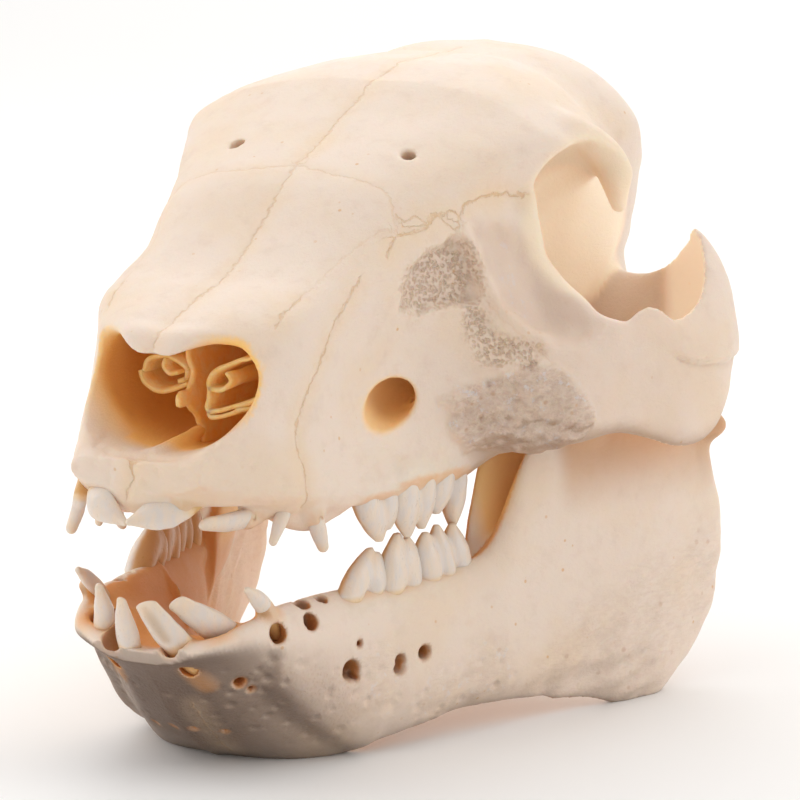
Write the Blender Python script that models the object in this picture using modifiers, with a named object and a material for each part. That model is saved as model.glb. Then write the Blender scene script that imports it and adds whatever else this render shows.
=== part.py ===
"""Skull of a young pot-bellied pig: cranium, lower jaw and milk teeth, each a solid of its own.

Sizes in the tables are millimetres. Y runs from the front of the upper gum backwards, X to the
animal's left and Z up from the table that the lower jaw stands on. The row frame is the same,
but metres, with its origin under the middle of the skull.
"""

import math

import bmesh
import bpy
import numpy as np
from mathutils import Matrix, Vector

MM = 0.001
FRONT_TO_ORIGIN = 64.73  # from the front of the upper gum back to the row frame's origin

# Levels and sizes that other values are worked out from.
CRANIUM_TRIANGLES = 3500
MANDIBLE_TRIANGLES = 1900
CRANIUM_VOXEL = 1.1
MANDIBLE_VOXEL = 1.0
SOCKET_GAP = 0.35  # the space between a root and its socket

BONE = (0.86, 0.76, 0.64, 1.0)
ENAMEL = (0.90, 0.86, 0.79, 1.0)

# Cranium sections: distance back, then half outlines from the crown's middle to the palate's middle.
# The columns are crown, inner brow, brow, brow edge, upper side, side, cheek, gum, palate edge, palate.
CRANIUM_SECTIONS = (
    (1.0, (0, 48.6), (3, 48.6), (6, 48.6), (9, 48.3), (10.5, 47.6), (11, 46.8), (10.6, 45.8), (9, 44.8), (6, 44.3), (0, 44.2)),
    (4.5, (0, 50), (3.5, 50.3), (7, 51), (9.6, 51.8), (11.4, 51.3), (12.4, 49.4), (12.6, 47), (12, 44.6), (8.6, 42.8), (0, 43.1)),
    (6.5, (0, 64.6), (3.5, 64.9), (6, 64), (9.5, 60), (12, 56), (13.2, 52), (13.9, 48), (13.4, 44.1), (10, 41.9), (0, 42.8)),
    (12.0, (0, 67.6), (4, 68), (8.5, 67.6), (12.4, 65.2), (14.2, 60), (15.9, 54), (17, 48.5), (16.6, 43), (12.5, 41.3), (0, 43.2)),
    (20.0, (0, 70.2), (5, 70.6), (11, 70), (16, 67.6), (17.8, 62), (18.3, 54.5), (18.8, 47), (18.9, 41.5), (14, 39.8), (0, 43.6)),
    (28.0, (0, 72.6), (5.5, 72.9), (11.8, 72.4), (17, 69.8), (18.7, 63.5), (18.8, 54.5), (19.8, 46.5), (20.8, 40.8), (17, 39), (0, 44)),
    (36.0, (0, 77.6), (6, 77.7), (12, 77), (17, 74.2), (19, 66.5), (19, 55.5), (20.5, 47), (22.4, 41), (18, 39.2), (0, 44.3)),
    (44.0, (0, 84.1), (7, 84), (13.5, 82.8), (18.5, 79), (20.8, 70), (20.6, 58), (21.8, 48), (23.6, 41), (20, 38.6), (0, 44.5)),
    (52.0, (0, 88.1), (8, 88), (15.5, 86.8), (21.3, 83.2), (23.6, 74), (25.5, 62), (28, 52), (25.5, 42.5), (21, 38.8), (0, 44.7)),
    (58.0, (0, 90.5), (8.5, 90.5), (17, 89.2), (24, 85.8), (25.8, 77.5), (29.5, 66), (34.5, 55), (31, 45.5), (21.5, 39.5), (0, 45)),
    (64.0, (0, 93.1), (9, 93), (18.5, 91.6), (27, 87.6), (27, 79), (32, 67), (39, 56), (37, 47.5), (20, 43), (0, 46)),
    (69.0, (0, 95.2), (9.5, 95), (20, 93.1), (29.5, 88.6), (28.5, 81), (31, 68), (37, 57), (33, 50), (18, 47), (0, 47.5)),
    (74.0, (0, 97), (10, 96.8), (21, 94.6), (30.8, 89.4), (30.5, 85.5), (20, 76), (17, 66), (14, 56), (10, 51), (0, 50)),
    (82.0, (0, 99.2), (10.5, 99), (21.5, 96.2), (31.6, 89.8), (32, 85.5), (20.5, 78), (16.5, 68), (14, 59), (10, 54), (0, 53)),
    (90.0, (0, 100.7), (11, 100.3), (21.5, 97), (31, 89.2), (31.5, 84), (22, 77), (19, 68), (16.5, 60), (11, 55), (0, 54)),
    (96.0, (0, 101.2), (11, 100.5), (20.5, 96.4), (27, 89.5), (27.3, 82.5), (24, 75), (21.8, 67), (18, 59.5), (12, 54.5), (0, 54)),
    (104.0, (0, 100.5), (11, 99.5), (19.5, 95.2), (25.3, 88.3), (25.6, 80.5), (24.8, 72.5), (22.3, 64.5), (18.5, 57.5), (12, 53.5), (0, 53.5)),
    (112.0, (0, 98.2), (10.5, 97), (19, 93), (25, 86.5), (25.3, 79.5), (23.8, 71), (21.2, 63), (17.5, 56.5), (12, 53.5), (0, 54)),
    (119.0, (0, 94), (10, 92.8), (17.8, 89.4), (23, 83.8), (23.1, 77.5), (21.3, 69.5), (18.8, 62.5), (15.5, 57), (11, 55), (0, 55.5)),
    (124.0, (0, 88.5), (8.5, 87.6), (15, 84.8), (19.5, 80), (20, 75), (18.5, 68.5), (16, 63), (13, 59), (9, 57.5), (0, 58)),
    (127.0, (0, 82), (6, 81.5), (10.5, 80), (14, 77), (14.5, 73.5), (13.5, 69), (11.5, 65.5), (9, 63), (6, 62), (0, 62)),
)

# Cheek arch: centre line across and back, low and high edge, thickness low and high, and how far
# the high edge leans outwards.
ARCH = (
    (22.0, 55.0, 46.0, 62.0, 6.0, 5.0, 0.0),
    (30.0, 59.0, 44.5, 62.0, 8.0, 6.0, 0.0),
    (37.5, 64.0, 44.2, 61.5, 8.0, 5.0, 0.0),
    (42.2, 71.0, 45.2, 61.5, 6.0, 3.8, 0.5),
    (44.8, 77.5, 43.8, 64.2, 4.6, 3.2, 0.2),
    (46.6, 83.0, 41.8, 61.4, 4.2, 3.0, 0.0),
    (47.6, 88.5, 41.2, 62.4, 4.2, 2.8, -0.6),
    (47.6, 93.0, 42.6, 65.2, 4.2, 2.6, -1.4),
    (46.6, 97.0, 45.6, 70.0, 4.2, 2.4, -2.2),
    (44.6, 100.2, 48.0, 73.6, 4.4, 2.2, -3.2),
    (41.2, 103.0, 49.6, 70.2, 6.0, 2.4, -2.6),
    (35.0, 106.4, 51.2, 66.0, 8.0, 3.0, -1.6),
    (26.5, 109.2, 53.0, 64.0, 8.5, 4.6, 0.0),
    (18.0, 110.0, 55.0, 66.0, 8.0, 6.0, 0.0),
)

# Nose chamber: distance back, then half outlines from its roof's middle to its floor's middle.
NOSE_SECTIONS = (
    (-6.0, (0, 63.0), (3, 63.2), (8, 70), (20, 73), (23, 63), (18, 55.5), (9, 50), (0, 49)),
    (4.0, (0, 63.0), (3, 63.4), (8, 69), (20, 71), (21, 62), (16.5, 55.2), (8, 50), (0, 49)),
    (8.0, (0, 63.3), (4.4, 64), (9, 67), (18, 69), (19, 62), (14.8, 55), (7.5, 50), (0, 48.8)),
    (11.0, (0, 63.8), (5, 64.4), (8.6, 65.2), (13, 65.5), (15.4, 61), (12.8, 55), (7, 50), (0, 48.6)),
    (14.0, (0, 64.4), (5, 65), (9, 64.9), (12, 63.4), (13.6, 59.6), (12, 54.6), (6.5, 49.6), (0, 48.4)),
    (20.0, (0, 66.4), (5, 66.8), (9.5, 66.2), (12.6, 63.6), (14, 58.5), (12, 52.6), (6.5, 49), (0, 48.2)),
    (28.0, (0, 69), (5.5, 69.2), (10.5, 68.2), (13.6, 65), (14.6, 59), (12.5, 52.4), (7, 48.8), (0, 48.2)),
    (36.0, (0, 73), (6, 72.8), (11, 71.4), (14, 67), (14.8, 59), (12.5, 52.2), (7, 48.8), (0, 48.4)),
    (46.0, (0, 78), (7, 77.4), (12, 75), (14.5, 68), (14, 59), (12, 52.4), (7, 49.4), (0, 49)),
    (58.0, (0, 79), (7, 78), (12, 74), (13.5, 66), (12.5, 58), (10.5, 52.6), (6.5, 50), (0, 49.8)),
    (67.0, (0, 73), (5, 72.4), (9, 69), (10.5, 63), (10, 57), (8.5, 53), (5, 50.6), (0, 50.4)),
)

# Lower jaw, symphysis: distance back, then half outlines from the tongue side to the chin side.
SYMPHYSIS_SECTIONS = (
    (2.2, (0, 20.4), (3, 20.8), (6, 21.2), (8.0, 21.0), (8.4, 20.3), (7, 19.4), (4, 18.6), (0, 18.4)),
    (6.0, (0, 20.2), (4, 20.6), (8.6, 22.2), (11.6, 22.8), (12, 20.6), (8.6, 17.8), (4.5, 15.6), (0, 14.6)),
    (11.0, (0, 20.2), (5, 20.6), (9.8, 22.8), (14, 24.4), (15, 21), (11.5, 15.6), (6.2, 10.6), (0, 8.6)),
    (17.0, (0, 19.8), (5, 20.2), (11, 22.8), (15, 25.6), (17.2, 21), (14.6, 13.8), (8.6, 6.6), (0, 3.6)),
    (23.0, (0, 16.5), (5, 17), (11.5, 21), (15.5, 25.6), (18.8, 20), (16.6, 11.4), (10.6, 2.8), (0, 0.2)),
    (29.0, (0, 11), (5, 12), (12, 19), (16.5, 25.4), (20, 19), (18.6, 10), (13, -0.2), (0, -1.0)),
    (35.0, (0, 6), (5, 8.5), (13, 18), (18, 25.2), (21.4, 19), (21, 9), (16, 0.0), (0, 0.4)),
)

# Lower jaw, body and ramus, in the same columns.
RAMUS = (
    (14.0, 16.0, 14.0, 24.0, 4.5, 5.0, 0.0),
    (16.6, 25.0, 6.0, 25.0, 5.0, 7.5, 0.0),
    (18.4, 34.0, 1.8, 25.4, 7.0, 8.5, 0.0),
    (21.2, 43.0, 2.4, 25.4, 9.5, 9.0, 0.0),
    (24.2, 52.0, 3.6, 25.6, 9.0, 8.6, 0.0),
    (27.6, 59.0, 3.8, 29.0, 8.0, 6.5, 0.0),
    (30.4, 65.0, 3.6, 42.0, 6.8, 4.0, 0.0),
    (32.6, 71.0, 2.6, 49.0, 5.6, 3.2, 0.4),
    (34.9, 77.0, 1.6, 51.0, 5.0, 3.0, 0.6),
    (37.2, 84.0, -0.6, 47.0, 6.4, 3.0, 1.0),
    (39.0, 91.0, -1.5, 44.0, 6.4, 3.4, 1.6),
    (40.2, 98.0, 2.4, 42.5, 5.0, 4.6, 2.0),
    (40.8, 102.0, 5.6, 41.0, 4.6, 5.6, 2.2),
    (41.3, 105.0, 10.0, 32.0, 4.0, 4.0, 1.8),
    (41.8, 106.6, 15.0, 25.0, 3.0, 3.0, 1.0),
)

# Inner wall of the pocket behind the last lower tooth, in the same columns.
POCKET_WALL = (
    (22.8, 60.6, 12.0, 26.5, 3.6, 2.6, 0.0),
    (23.2, 63.6, 12.0, 34.0, 3.4, 2.4, 0.0),
    (24.2, 68.6, 12.0, 43.0, 3.2, 2.4, 0.0),
    (26.4, 75.0, 12.0, 46.5, 3.2, 2.4, 0.0),
    (30.0, 83.0, 12.0, 46.0, 3.2, 2.4, 0.0),
    (35.0, 91.0, 12.0, 43.0, 3.2, 2.6, 0.0),
)

# Wing of the skull base behind the palate, in the same columns.
WING = (
    (8.5, 66.0, 45.5, 54.0, 3.4, 4.0, 0.0),
    (9.6, 72.0, 42.5, 56.0, 2.6, 4.0, 0.0),
    (10.6, 79.0, 39.5, 58.0, 2.4, 5.0, 0.0),
    (11.4, 85.0, 38.5, 58.0, 2.6, 6.0, 0.0),
    (11.6, 90.0, 45.0, 58.0, 3.4, 6.0, 0.0),
)

# Peg teeth: the way their face looks, then root to tip as across, back, up, width and depth.
PEGS = {
    "upper_incisor_1": ((0.4, -0.75, 0.5),
        ((8.7, 10.2, 46.3, 2.4, 1.8), (6.4, 5.9, 44.1, 4.4, 2.8), (3.7, 1.6, 40.9, 4.9, 2.5), (1.1, -0.9, 39.3, 1.3, 0.9))),
    "upper_incisor_2": ((0.6, -0.2, -0.7),
        ((13.6, 18.6, 43.2, 2.0, 1.8), (12.3, 14.6, 39.6, 3.0, 2.3), (10.7, 10.0, 37.9, 3.4, 2.2), (9.1, 6.1, 38.4, 1.6, 1.0))),
    "upper_incisor_3": ((0.8, -0.6, 0.0),
        ((15.6, 20.4, 46.6, 1.6, 1.6), (15.8, 18.3, 42.2, 2.1, 2.0), (15.4, 16.6, 38.7, 2.0, 1.8), (15.0, 15.1, 35.4, 1.0, 0.9))),
    "upper_canine": ((0.8, -0.6, 0.0),
        ((16.4, 21.9, 45.0, 1.9, 1.8), (17.2, 22.4, 39.8, 2.6, 2.3), (17.6, 23.7, 36.2, 2.4, 2.1), (17.5, 25.3, 32.8, 1.1, 1.0))),
    "lower_incisor_1": ((0.2, -0.75, -0.6),
        ((7.0, 9.4, 15.8, 2.6, 2.4), (5.3, 5.4, 20.3, 4.2, 3.0), (3.6, 2.2, 24.0, 4.3, 2.6), (2.4, -0.4, 27.1, 3.0, 1.1))),
    "lower_incisor_2": ((0.5, -0.6, -0.6),
        ((11.7, 16.6, 17.2, 2.6, 2.4), (10.3, 12.4, 20.4, 4.0, 3.2), (8.3, 7.4, 24.5, 4.4, 2.9), (6.2, 2.6, 28.1, 2.6, 1.3))),
    "lower_incisor_3": ((0.8, -0.6, 0.0),
        ((14.0, 17.6, 21.0, 1.8, 1.7), (14.4, 14.4, 25.2, 2.5, 2.2), (14.6, 11.2, 27.9, 2.4, 2.0), (14.5, 8.5, 29.7, 1.1, 1.0))),
}

# Cheek teeth: middle of the front end and of the back end across, half width, gum height and root
# height, then the biting edge from front to back as distance back and height.
CHEEK_TEETH = {
    "upper_premolar_2": (18.7, 20.4, 1.7, 38.8, 42.6,
        ((28.4, 37.4), (30.2, 36.0), (33.2, 34.4), (37.2, 32.3), (38.6, 33.8), (39.6, 36.0))),
    "upper_premolar_3": (20.6, 22.0, 2.0, 38.8, 42.8,
        ((40.1, 35.8), (41.7, 33.2), (45.4, 31.6), (47.6, 32.8), (50.2, 31.5), (51.3, 33.8))),
    "upper_premolar_4": (22.2, 22.8, 2.4, 38.6, 42.6,
        ((51.8, 34.6), (52.9, 33.2), (54.8, 31.9), (57.0, 31.2), (58.2, 33.4))),
    "lower_premolar_2": (17.6, 19.8, 1.5, 25.8, 20.0,
        ((26.6, 27.2), (30.0, 29.0), (33.2, 30.4), (36.4, 31.2), (38.2, 30.2), (39.6, 28.4))),
    "lower_premolar_3": (20.0, 22.3, 1.7, 25.2, 19.6,
        ((40.1, 29.6), (41.6, 32.1), (43.4, 31.2), (45.4, 30.4), (47.4, 29.0), (48.8, 27.6))),
    "lower_premolar_4": (22.4, 25.2, 2.0, 25.4, 19.6,
        ((49.3, 29.2), (50.2, 30.5), (51.4, 29.7), (52.6, 31.0), (54.2, 29.8), (55.6, 30.2), (57.4, 28.8), (59.2, 27.0))),
}
UPPER_JAW = "upper"

# Small canals in the bone: mouth, end, mouth radius and end radius.
CRANIUM_PITS = (
    ((14.6, 54.4, 88.6), (14.0, 58.0, 85.4), 1.3, 0.9),
)
MANDIBLE_PITS = (
    ((21.4, 27.2, 14.5), (17.4, 29.2, 14.6), 1.6, 1.0),
    ((24.6, 37.0, 13.8), (21.0, 38.6, 13.9), 0.9, 0.7),
    ((26.2, 41.5, 14.8), (22.6, 43.0, 15.0), 1.0, 0.7),
    ((12.0, 10.9, 14.3), (9.4, 13.4, 16.4), 0.7, 0.5),
)


def catmull_rom(points, steps):
    """Points on a smooth curve through the given ones, with this many steps to each span."""
    given = np.asarray(points, float)
    ends = np.concatenate([2 * given[:1] - given[1:2], given, 2 * given[-1:] - given[-2:-1]])
    curve = []
    for a, b, c, d in zip(ends, ends[1:], ends[2:], ends[3:]):
        for t in np.arange(steps) / steps:
            curve.append(
                0.5 * (2 * b + (c - a) * t + (2 * a - 5 * b + 4 * c - d) * t**2 + (3 * b - a - 3 * c + d) * t**3)
            )
    curve.append(given[-1])
    return np.array(curve)


def row_point(across, back, up):
    """A place in the skull's own millimetres, in the row frame."""
    return Vector((across * MM, (back - FRONT_TO_ORIGIN) * MM, up * MM))


def new_object(name, mesh, collection):
    """Links a mesh into a collection as an object of this name."""
    made = bpy.data.objects.new(name, mesh)
    collection.objects.link(made)
    return made


def skin(name, rings, collection):
    """A closed solid through rings of points that have the same count, capped at both ends."""
    bm = bmesh.new()
    loops = [[bm.verts.new(row_point(*p)) for p in ring] for ring in rings]
    for near, far in zip(loops, loops[1:]):
        for i in range(len(near)):
            j = (i + 1) % len(near)
            bm.faces.new((near[i], near[j], far[j], far[i]))
    bm.faces.new(loops[0][::-1])
    bm.faces.new(loops[-1])
    bmesh.ops.triangulate(bm, faces=[f for f in bm.faces if len(f.verts) > 4])
    bmesh.ops.recalc_face_normals(bm, faces=bm.faces)
    mesh = bpy.data.meshes.new(name)
    bm.to_mesh(mesh)
    bm.free()
    return new_object(name, mesh, collection)


def mirrored_sections(name, sections, collection, around=3, along=3):
    """A solid from half outlines: each is smoothed, mirrored to a ring, and joined to the next."""
    table = np.array([[(x, y, z) for x, z in outline] for y, *outline in sections], float)
    rings = []
    for half in catmull_rom(table, along):
        left = catmull_rom(half, around)
        left[:, 0] = np.maximum(left[:, 0], 0)
        right = left[-2:0:-1] * (-1, 1, 1)
        rings.append(np.concatenate([left, right]))
    return skin(name, rings, collection)


def steady(height):
    """How a plate's lean grows with height when it is nearly an even slope."""
    return height**0.6


def cupped(height):
    """How a plate's lean grows when it bulges the other way below and turns over at its top."""
    return height**3.5 - 2.4 * height * (1 - height)


def plate(name, stations, collection, side=1, slope=steady, around=16, along=3):
    """An upright plate of oval section that follows a line across the table."""
    line = catmull_rom(stations, along)
    ahead = np.gradient(line[:, :2], axis=0)
    ahead /= np.linalg.norm(ahead, axis=1)[:, None]
    rings = []
    for (x, y, low, high, thick_low, thick_high, lean), (tx, ty) in zip(line, ahead):
        ring = []
        for angle in np.arange(around) * 2 * math.pi / around:
            height = (math.copysign(abs(math.sin(angle)) ** 0.8, math.sin(angle)) + 1) / 2
            out = math.cos(angle) * (thick_low + (thick_high - thick_low) * height) / 2
            out += lean * slope(height)
            ring.append((side * (x + ty * out), y - tx * out, low + height * (high - low)))
        rings.append(ring)
    return skin(name, rings, collection)


def horn(name, points, radii, collection, side=1):
    """A round spur through points, each with its own radius."""
    curve = bpy.data.curves.new(name, "CURVE")
    curve.dimensions = "3D"
    curve.bevel_depth = MM
    curve.bevel_resolution = 3
    curve.use_fill_caps = True
    line = catmull_rom(np.column_stack([points, radii]), 3)
    spline = curve.splines.new("POLY")
    spline.points.add(len(line) - 1)
    for knot, (x, y, z, radius) in zip(spline.points, line):
        knot.co = (*row_point(side * x, y, z), 1)
        knot.radius = radius
    made = new_object(name, curve, collection)
    return meshed(made)


def lump(name, centre, radii, collection, side=1, turn=(0, 0, 0)):
    """An egg-shaped solid."""
    bm = bmesh.new()
    bmesh.ops.create_uvsphere(bm, u_segments=24, v_segments=16, radius=1)
    mesh = bpy.data.meshes.new(name)
    bm.to_mesh(mesh)
    bm.free()
    x, y, z = centre
    tilt = Matrix.Rotation(math.radians(side * turn[2]), 4, "Z")
    tilt @= Matrix.Rotation(math.radians(side * turn[1]), 4, "Y")
    tilt @= Matrix.Rotation(math.radians(turn[0]), 4, "X")
    mesh.transform(
        Matrix.Translation(row_point(side * x, y, z)) @ tilt @ Matrix.Diagonal((*[r * MM for r in radii], 1))
    )
    return new_object(name, mesh, collection)


def meshed(made):
    """The object as a plain mesh with its modifiers applied, in its own place."""
    bpy.context.view_layer.update()
    graph = bpy.context.evaluated_depsgraph_get()
    mesh = bpy.data.meshes.new_from_object(made.evaluated_get(graph))
    mesh.transform(made.matrix_world)
    bm = bmesh.new()
    bm.from_mesh(mesh)
    bmesh.ops.remove_doubles(bm, verts=bm.verts, dist=0.003 * MM)
    bm.to_mesh(mesh)
    bm.free()
    name, collection = made.name, made.users_collection[0]
    bpy.data.objects.remove(made)
    return new_object(name, mesh, collection)


def joined(name, pieces, collection):
    """Several meshes as one object; the solids in it may cross each other."""
    bm = bmesh.new()
    for piece in pieces:
        bm.from_mesh(piece.data)
        bpy.data.objects.remove(piece)
    mesh = bpy.data.meshes.new(name)
    bm.to_mesh(mesh)
    bm.free()
    return new_object(name, mesh, collection)


def remeshed(made, voxel, smoothing):
    """Fuses crossing solids into one skin and rounds the creases between them."""
    remesh = made.modifiers.new("Fuse", "REMESH")
    remesh.mode = "VOXEL"
    remesh.voxel_size = voxel * MM
    smooth = made.modifiers.new("Round", "SMOOTH")
    smooth.factor = 0.5
    smooth.iterations = smoothing
    return meshed(made)


def cut(made, cutter, crossing=False):
    """Takes the cutter's solid away from the object; its own parts may cross if that is said."""
    boolean = made.modifiers.new("Cut", "BOOLEAN")
    boolean.operation = "DIFFERENCE"
    boolean.solver = "EXACT"
    boolean.use_self = crossing
    boolean.object = cutter
    made = meshed(made)
    bpy.data.objects.remove(cutter)
    return made


def thinned(made, triangles):
    """Collapses the mesh to about this many triangles."""
    count = sum(len(face.vertices) - 2 for face in made.data.polygons)
    decimate = made.modifiers.new("Thin", "DECIMATE")
    decimate.ratio = min(1.0, triangles / count)
    decimate.use_collapse_triangulate = True
    return meshed(made)


def tooth_ring(centre, wide, deep, grow):
    """Eight points round a place on a peg tooth, pushed outwards by this much."""
    ring = []
    for angle in np.arange(8) * math.pi / 4 + math.pi / 8:
        step = wide * math.cos(angle) + deep * math.sin(angle)
        ring.append(centre + step + step / np.linalg.norm(step) * grow)
    return ring


def peg_tooth(name, face, stations, collection, side, grow=0.0):
    """A single-rooted tooth along a bent line, with its broad side turned to one way."""
    line = np.array(stations, float)
    ahead = np.gradient(line[:, :3], axis=0)
    ahead /= np.linalg.norm(ahead, axis=1)[:, None]
    line[0, :3] -= ahead[0] * grow
    rings = []
    for (x, y, z, width, depth), along in zip(line, ahead):
        wide = np.cross(along, face)
        wide /= np.linalg.norm(wide)
        deep = np.cross(wide, along)
        ring = tooth_ring(np.array([x, y, z]), wide * width / 2, deep * depth / 2, grow)
        rings.append([(side * px, py, pz) for px, py, pz in ring])
    return skin(name, rings, collection)


def cheek_tooth(name, sizes, collection, side, grow=0.0):
    """A double-rooted tooth with a cutting edge that rises and falls along the row."""
    front, back, half, gum, root, edge = sizes
    ends = (edge[0][0], edge[-1][0])
    rings = []
    for index, (y, tip) in enumerate(edge):
        share = (y - ends[0]) / (ends[1] - ends[0])
        x = front + (back - front) * share
        at_end = index in (0, len(edge) - 1)
        wide = half * (0.62 if at_end else 1.0)
        way = 1 if index else -1
        shifted = y + (way * grow if at_end else 0)
        up = 1 if root > gum else -1
        profile = (
            (0.4, tip - up * grow),
            (wide * 0.8 + grow, tip + (gum - tip) * 0.45),
            (wide + grow, gum - up * 0.4),
            (wide * 0.66 + grow, root + up * grow),
        )
        ring = [(x + px, shifted, pz) for px, pz in profile] + [(x - px, shifted, pz) for px, pz in profile[::-1]]
        rings.append([(side * px, py, pz) for px, py, pz in ring])
    return skin(name, rings, collection)


def all_teeth(collection, grow=0.0):
    """Every tooth by name, or with a growth the sockets that they stand in."""
    teeth = {}
    for side, word in ((1, "left"), (-1, "right")):
        for name, (face, stations) in PEGS.items():
            teeth[f"{name}_{word}"] = peg_tooth(f"{name}_{word}", face, stations, collection, side, grow)
        for name, sizes in CHEEK_TEETH.items():
            teeth[f"{name}_{word}"] = cheek_tooth(f"{name}_{word}", sizes, collection, side, grow)
    return teeth


def pit(name, mouth, end, wide, narrow, collection, side):
    """A small tapering canal."""
    mouth, end = np.array(mouth), np.array(end)
    along = (end - mouth) / np.linalg.norm(end - mouth)
    wide_way = np.cross(along, (0, 0, 1))
    wide_way /= np.linalg.norm(wide_way)
    deep_way = np.cross(wide_way, along)
    rings = []
    for centre, radius in ((mouth - along * 2, wide), (mouth, wide), (end, narrow)):
        ring = tooth_ring(centre, wide_way * radius, deep_way * radius, 0.0)
        rings.append([(side * px, py, pz) for px, py, pz in ring])
    return skin(name, rings, collection)


def table_block(collection):
    """The table under the lower jaw, which takes its chin and corners off flat."""
    bm = bmesh.new()
    bmesh.ops.create_cube(bm, size=1)
    mesh = bpy.data.meshes.new("table")
    bm.to_mesh(mesh)
    bm.free()
    wide, long, deep = 140 * MM, 180 * MM, 20 * MM
    mesh.transform(Matrix.Translation((0, 0, -deep / 2)) @ Matrix.Diagonal((wide, long, deep, 1)))
    return new_object("table", mesh, collection)


def cranium(guides):
    """The upper skull: face, brow and braincase, cheek arches, and the openings in them."""
    solids = [mirrored_sections("hull", CRANIUM_SECTIONS, guides)]
    for side in (1, -1):
        solids += [
            plate("arch", ARCH, guides, side, cupped),
            plate("wing", WING, guides, side),
            horn("brow", [(29, 82, 88), (31.5, 87, 86.5), (32.4, 90, 83)], (4.2, 3.4, 2.6), guides, side),
            lump("neck_knob", (8.0, 125.0, 60.5), (4.6, 6.0, 6.8), guides, side, (0, 0, -20)),
            horn("neck_spur", [(18, 113, 62), (18.6, 114, 52), (18.0, 113, 42)], (5.0, 3.6, 1.8), guides, side),
            lump("ear_bulb", (13.0, 106.0, 51.0), (4.6, 7.0, 7.0), guides, side),
        ]
    body = remeshed(joined("cranium", solids, guides), CRANIUM_VOXEL, 4)
    openings = [
        mirrored_sections("nose", NOSE_SECTIONS, guides),
        lump("throat", (0, 74, 51), (6.6, 11, 7.5), guides),
        lump("brain_room", (0, 101, 77), (21, 23, 18.6), guides),
        horn("neck_hole", [(0, 112, 70), (0, 122, 67.5), (0, 134, 66)], (8.0, 7.4, 7.4), guides),
    ]
    for side in (1, -1):
        openings += [
            lump("eye_socket", (35.0, 80.5, 75.0), (15.5, 13.0, 13.4), guides, side),
            horn("cheek_canal", [(22.8, 36.0, 52.2), (19.2, 42.4, 52.7), (18.2, 48, 53.6), (19.8, 56, 56), (24, 74, 60)],
                 (3.9, 3.7, 3.2, 2.9, 2.6), guides, side),
            lump("face_hollow", (27.5, 49.5, 70.5), (6.0, 7.5, 5.5), guides, side),
        ]
    body = cut(body, remeshed(joined("openings", openings, guides), CRANIUM_VOXEL, 1))
    spurs = [
        horn("brow_spur", [(31.4, 85, 88.0), (32.6, 89.2, 84.4), (33.2, 90.8, 77.6)], (1.9, 2.2, 1.3), guides, side)
        for side in (1, -1)
    ]
    body = joined("cranium", [body, *spurs], guides)
    return thinned(remeshed(body, CRANIUM_VOXEL * 0.8, 3), CRANIUM_TRIANGLES)


def mandible(guides):
    """The lower jaw: chin, two bodies and two upright rami with their joint knobs."""
    solids = [mirrored_sections("chin", SYMPHYSIS_SECTIONS, guides)]
    for side in (1, -1):
        solids += [
            plate("ramus", RAMUS, guides, side),
            plate("pocket_wall", POCKET_WALL, guides, side),
            horn("coronoid", [(33.5, 76, 46), (33.2, 79, 56), (33.0, 81.5, 61)], (4.0, 2.6, 1.4), guides, side),
            lump("condyle", (40.0, 101.0, 42.2), (7.0, 3.8, 3.2), guides, side),
        ]
    body = joined("mandible", solids, guides)
    return thinned(remeshed(body, MANDIBLE_VOXEL, 4), MANDIBLE_TRIANGLES)


def painted(made, colour, roughness):
    """Gives an object a finish of its own and rounds its look."""
    finish = bpy.data.materials.new(made.name)
    finish.use_nodes = True
    shader = finish.node_tree.nodes["Principled BSDF"]
    shader.inputs["Base Color"].default_value = colour
    shader.inputs["Roughness"].default_value = roughness
    shader.inputs["Metallic"].default_value = 0.0
    made.data.materials.clear()
    made.data.materials.append(finish)
    for face in made.data.polygons:
        face.use_smooth = True


def build():
    """Makes the whole skull."""
    for old in list(bpy.data.objects):
        bpy.data.objects.remove(old)
    parts = bpy.data.collections.new("pig_skull")
    guides = bpy.data.collections.new("guides")
    bpy.context.scene.collection.children.link(parts)
    bpy.context.scene.collection.children.link(guides)
    sockets = all_teeth(guides, SOCKET_GAP)
    bodies = (
        (cranium(guides), CRANIUM_PITS, [socket for name, socket in sockets.items() if name.startswith(UPPER_JAW)]),
        (mandible(guides), MANDIBLE_PITS, [socket for name, socket in sockets.items() if not name.startswith(UPPER_JAW)]),
    )
    bodies[1][2].append(table_block(guides))
    for body, pits, cutters in bodies:
        for side in (1, -1):
            cutters += [pit("pit", *sizes, guides, side) for sizes in pits]
        body = cut(body, joined("cutters", cutters, guides), crossing=True)
        guides.objects.unlink(body)
        parts.objects.link(body)
        painted(body, BONE, 0.6)
    for tooth in all_teeth(parts).values():
        painted(tooth, ENAMEL, 0.35)


build()
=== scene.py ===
"""Skull of a young pot-bellied pig, dressed for its photograph.

The two bones are pressed together from named forms on a fine grid, meshed, and given their
relief; every tooth is a piece of its own.
X to the animal's left, Y back from the front of the upper gum, and Z up from the table.
"""

import logging
import math
from dataclasses import dataclass, field
from enum import Enum

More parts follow.
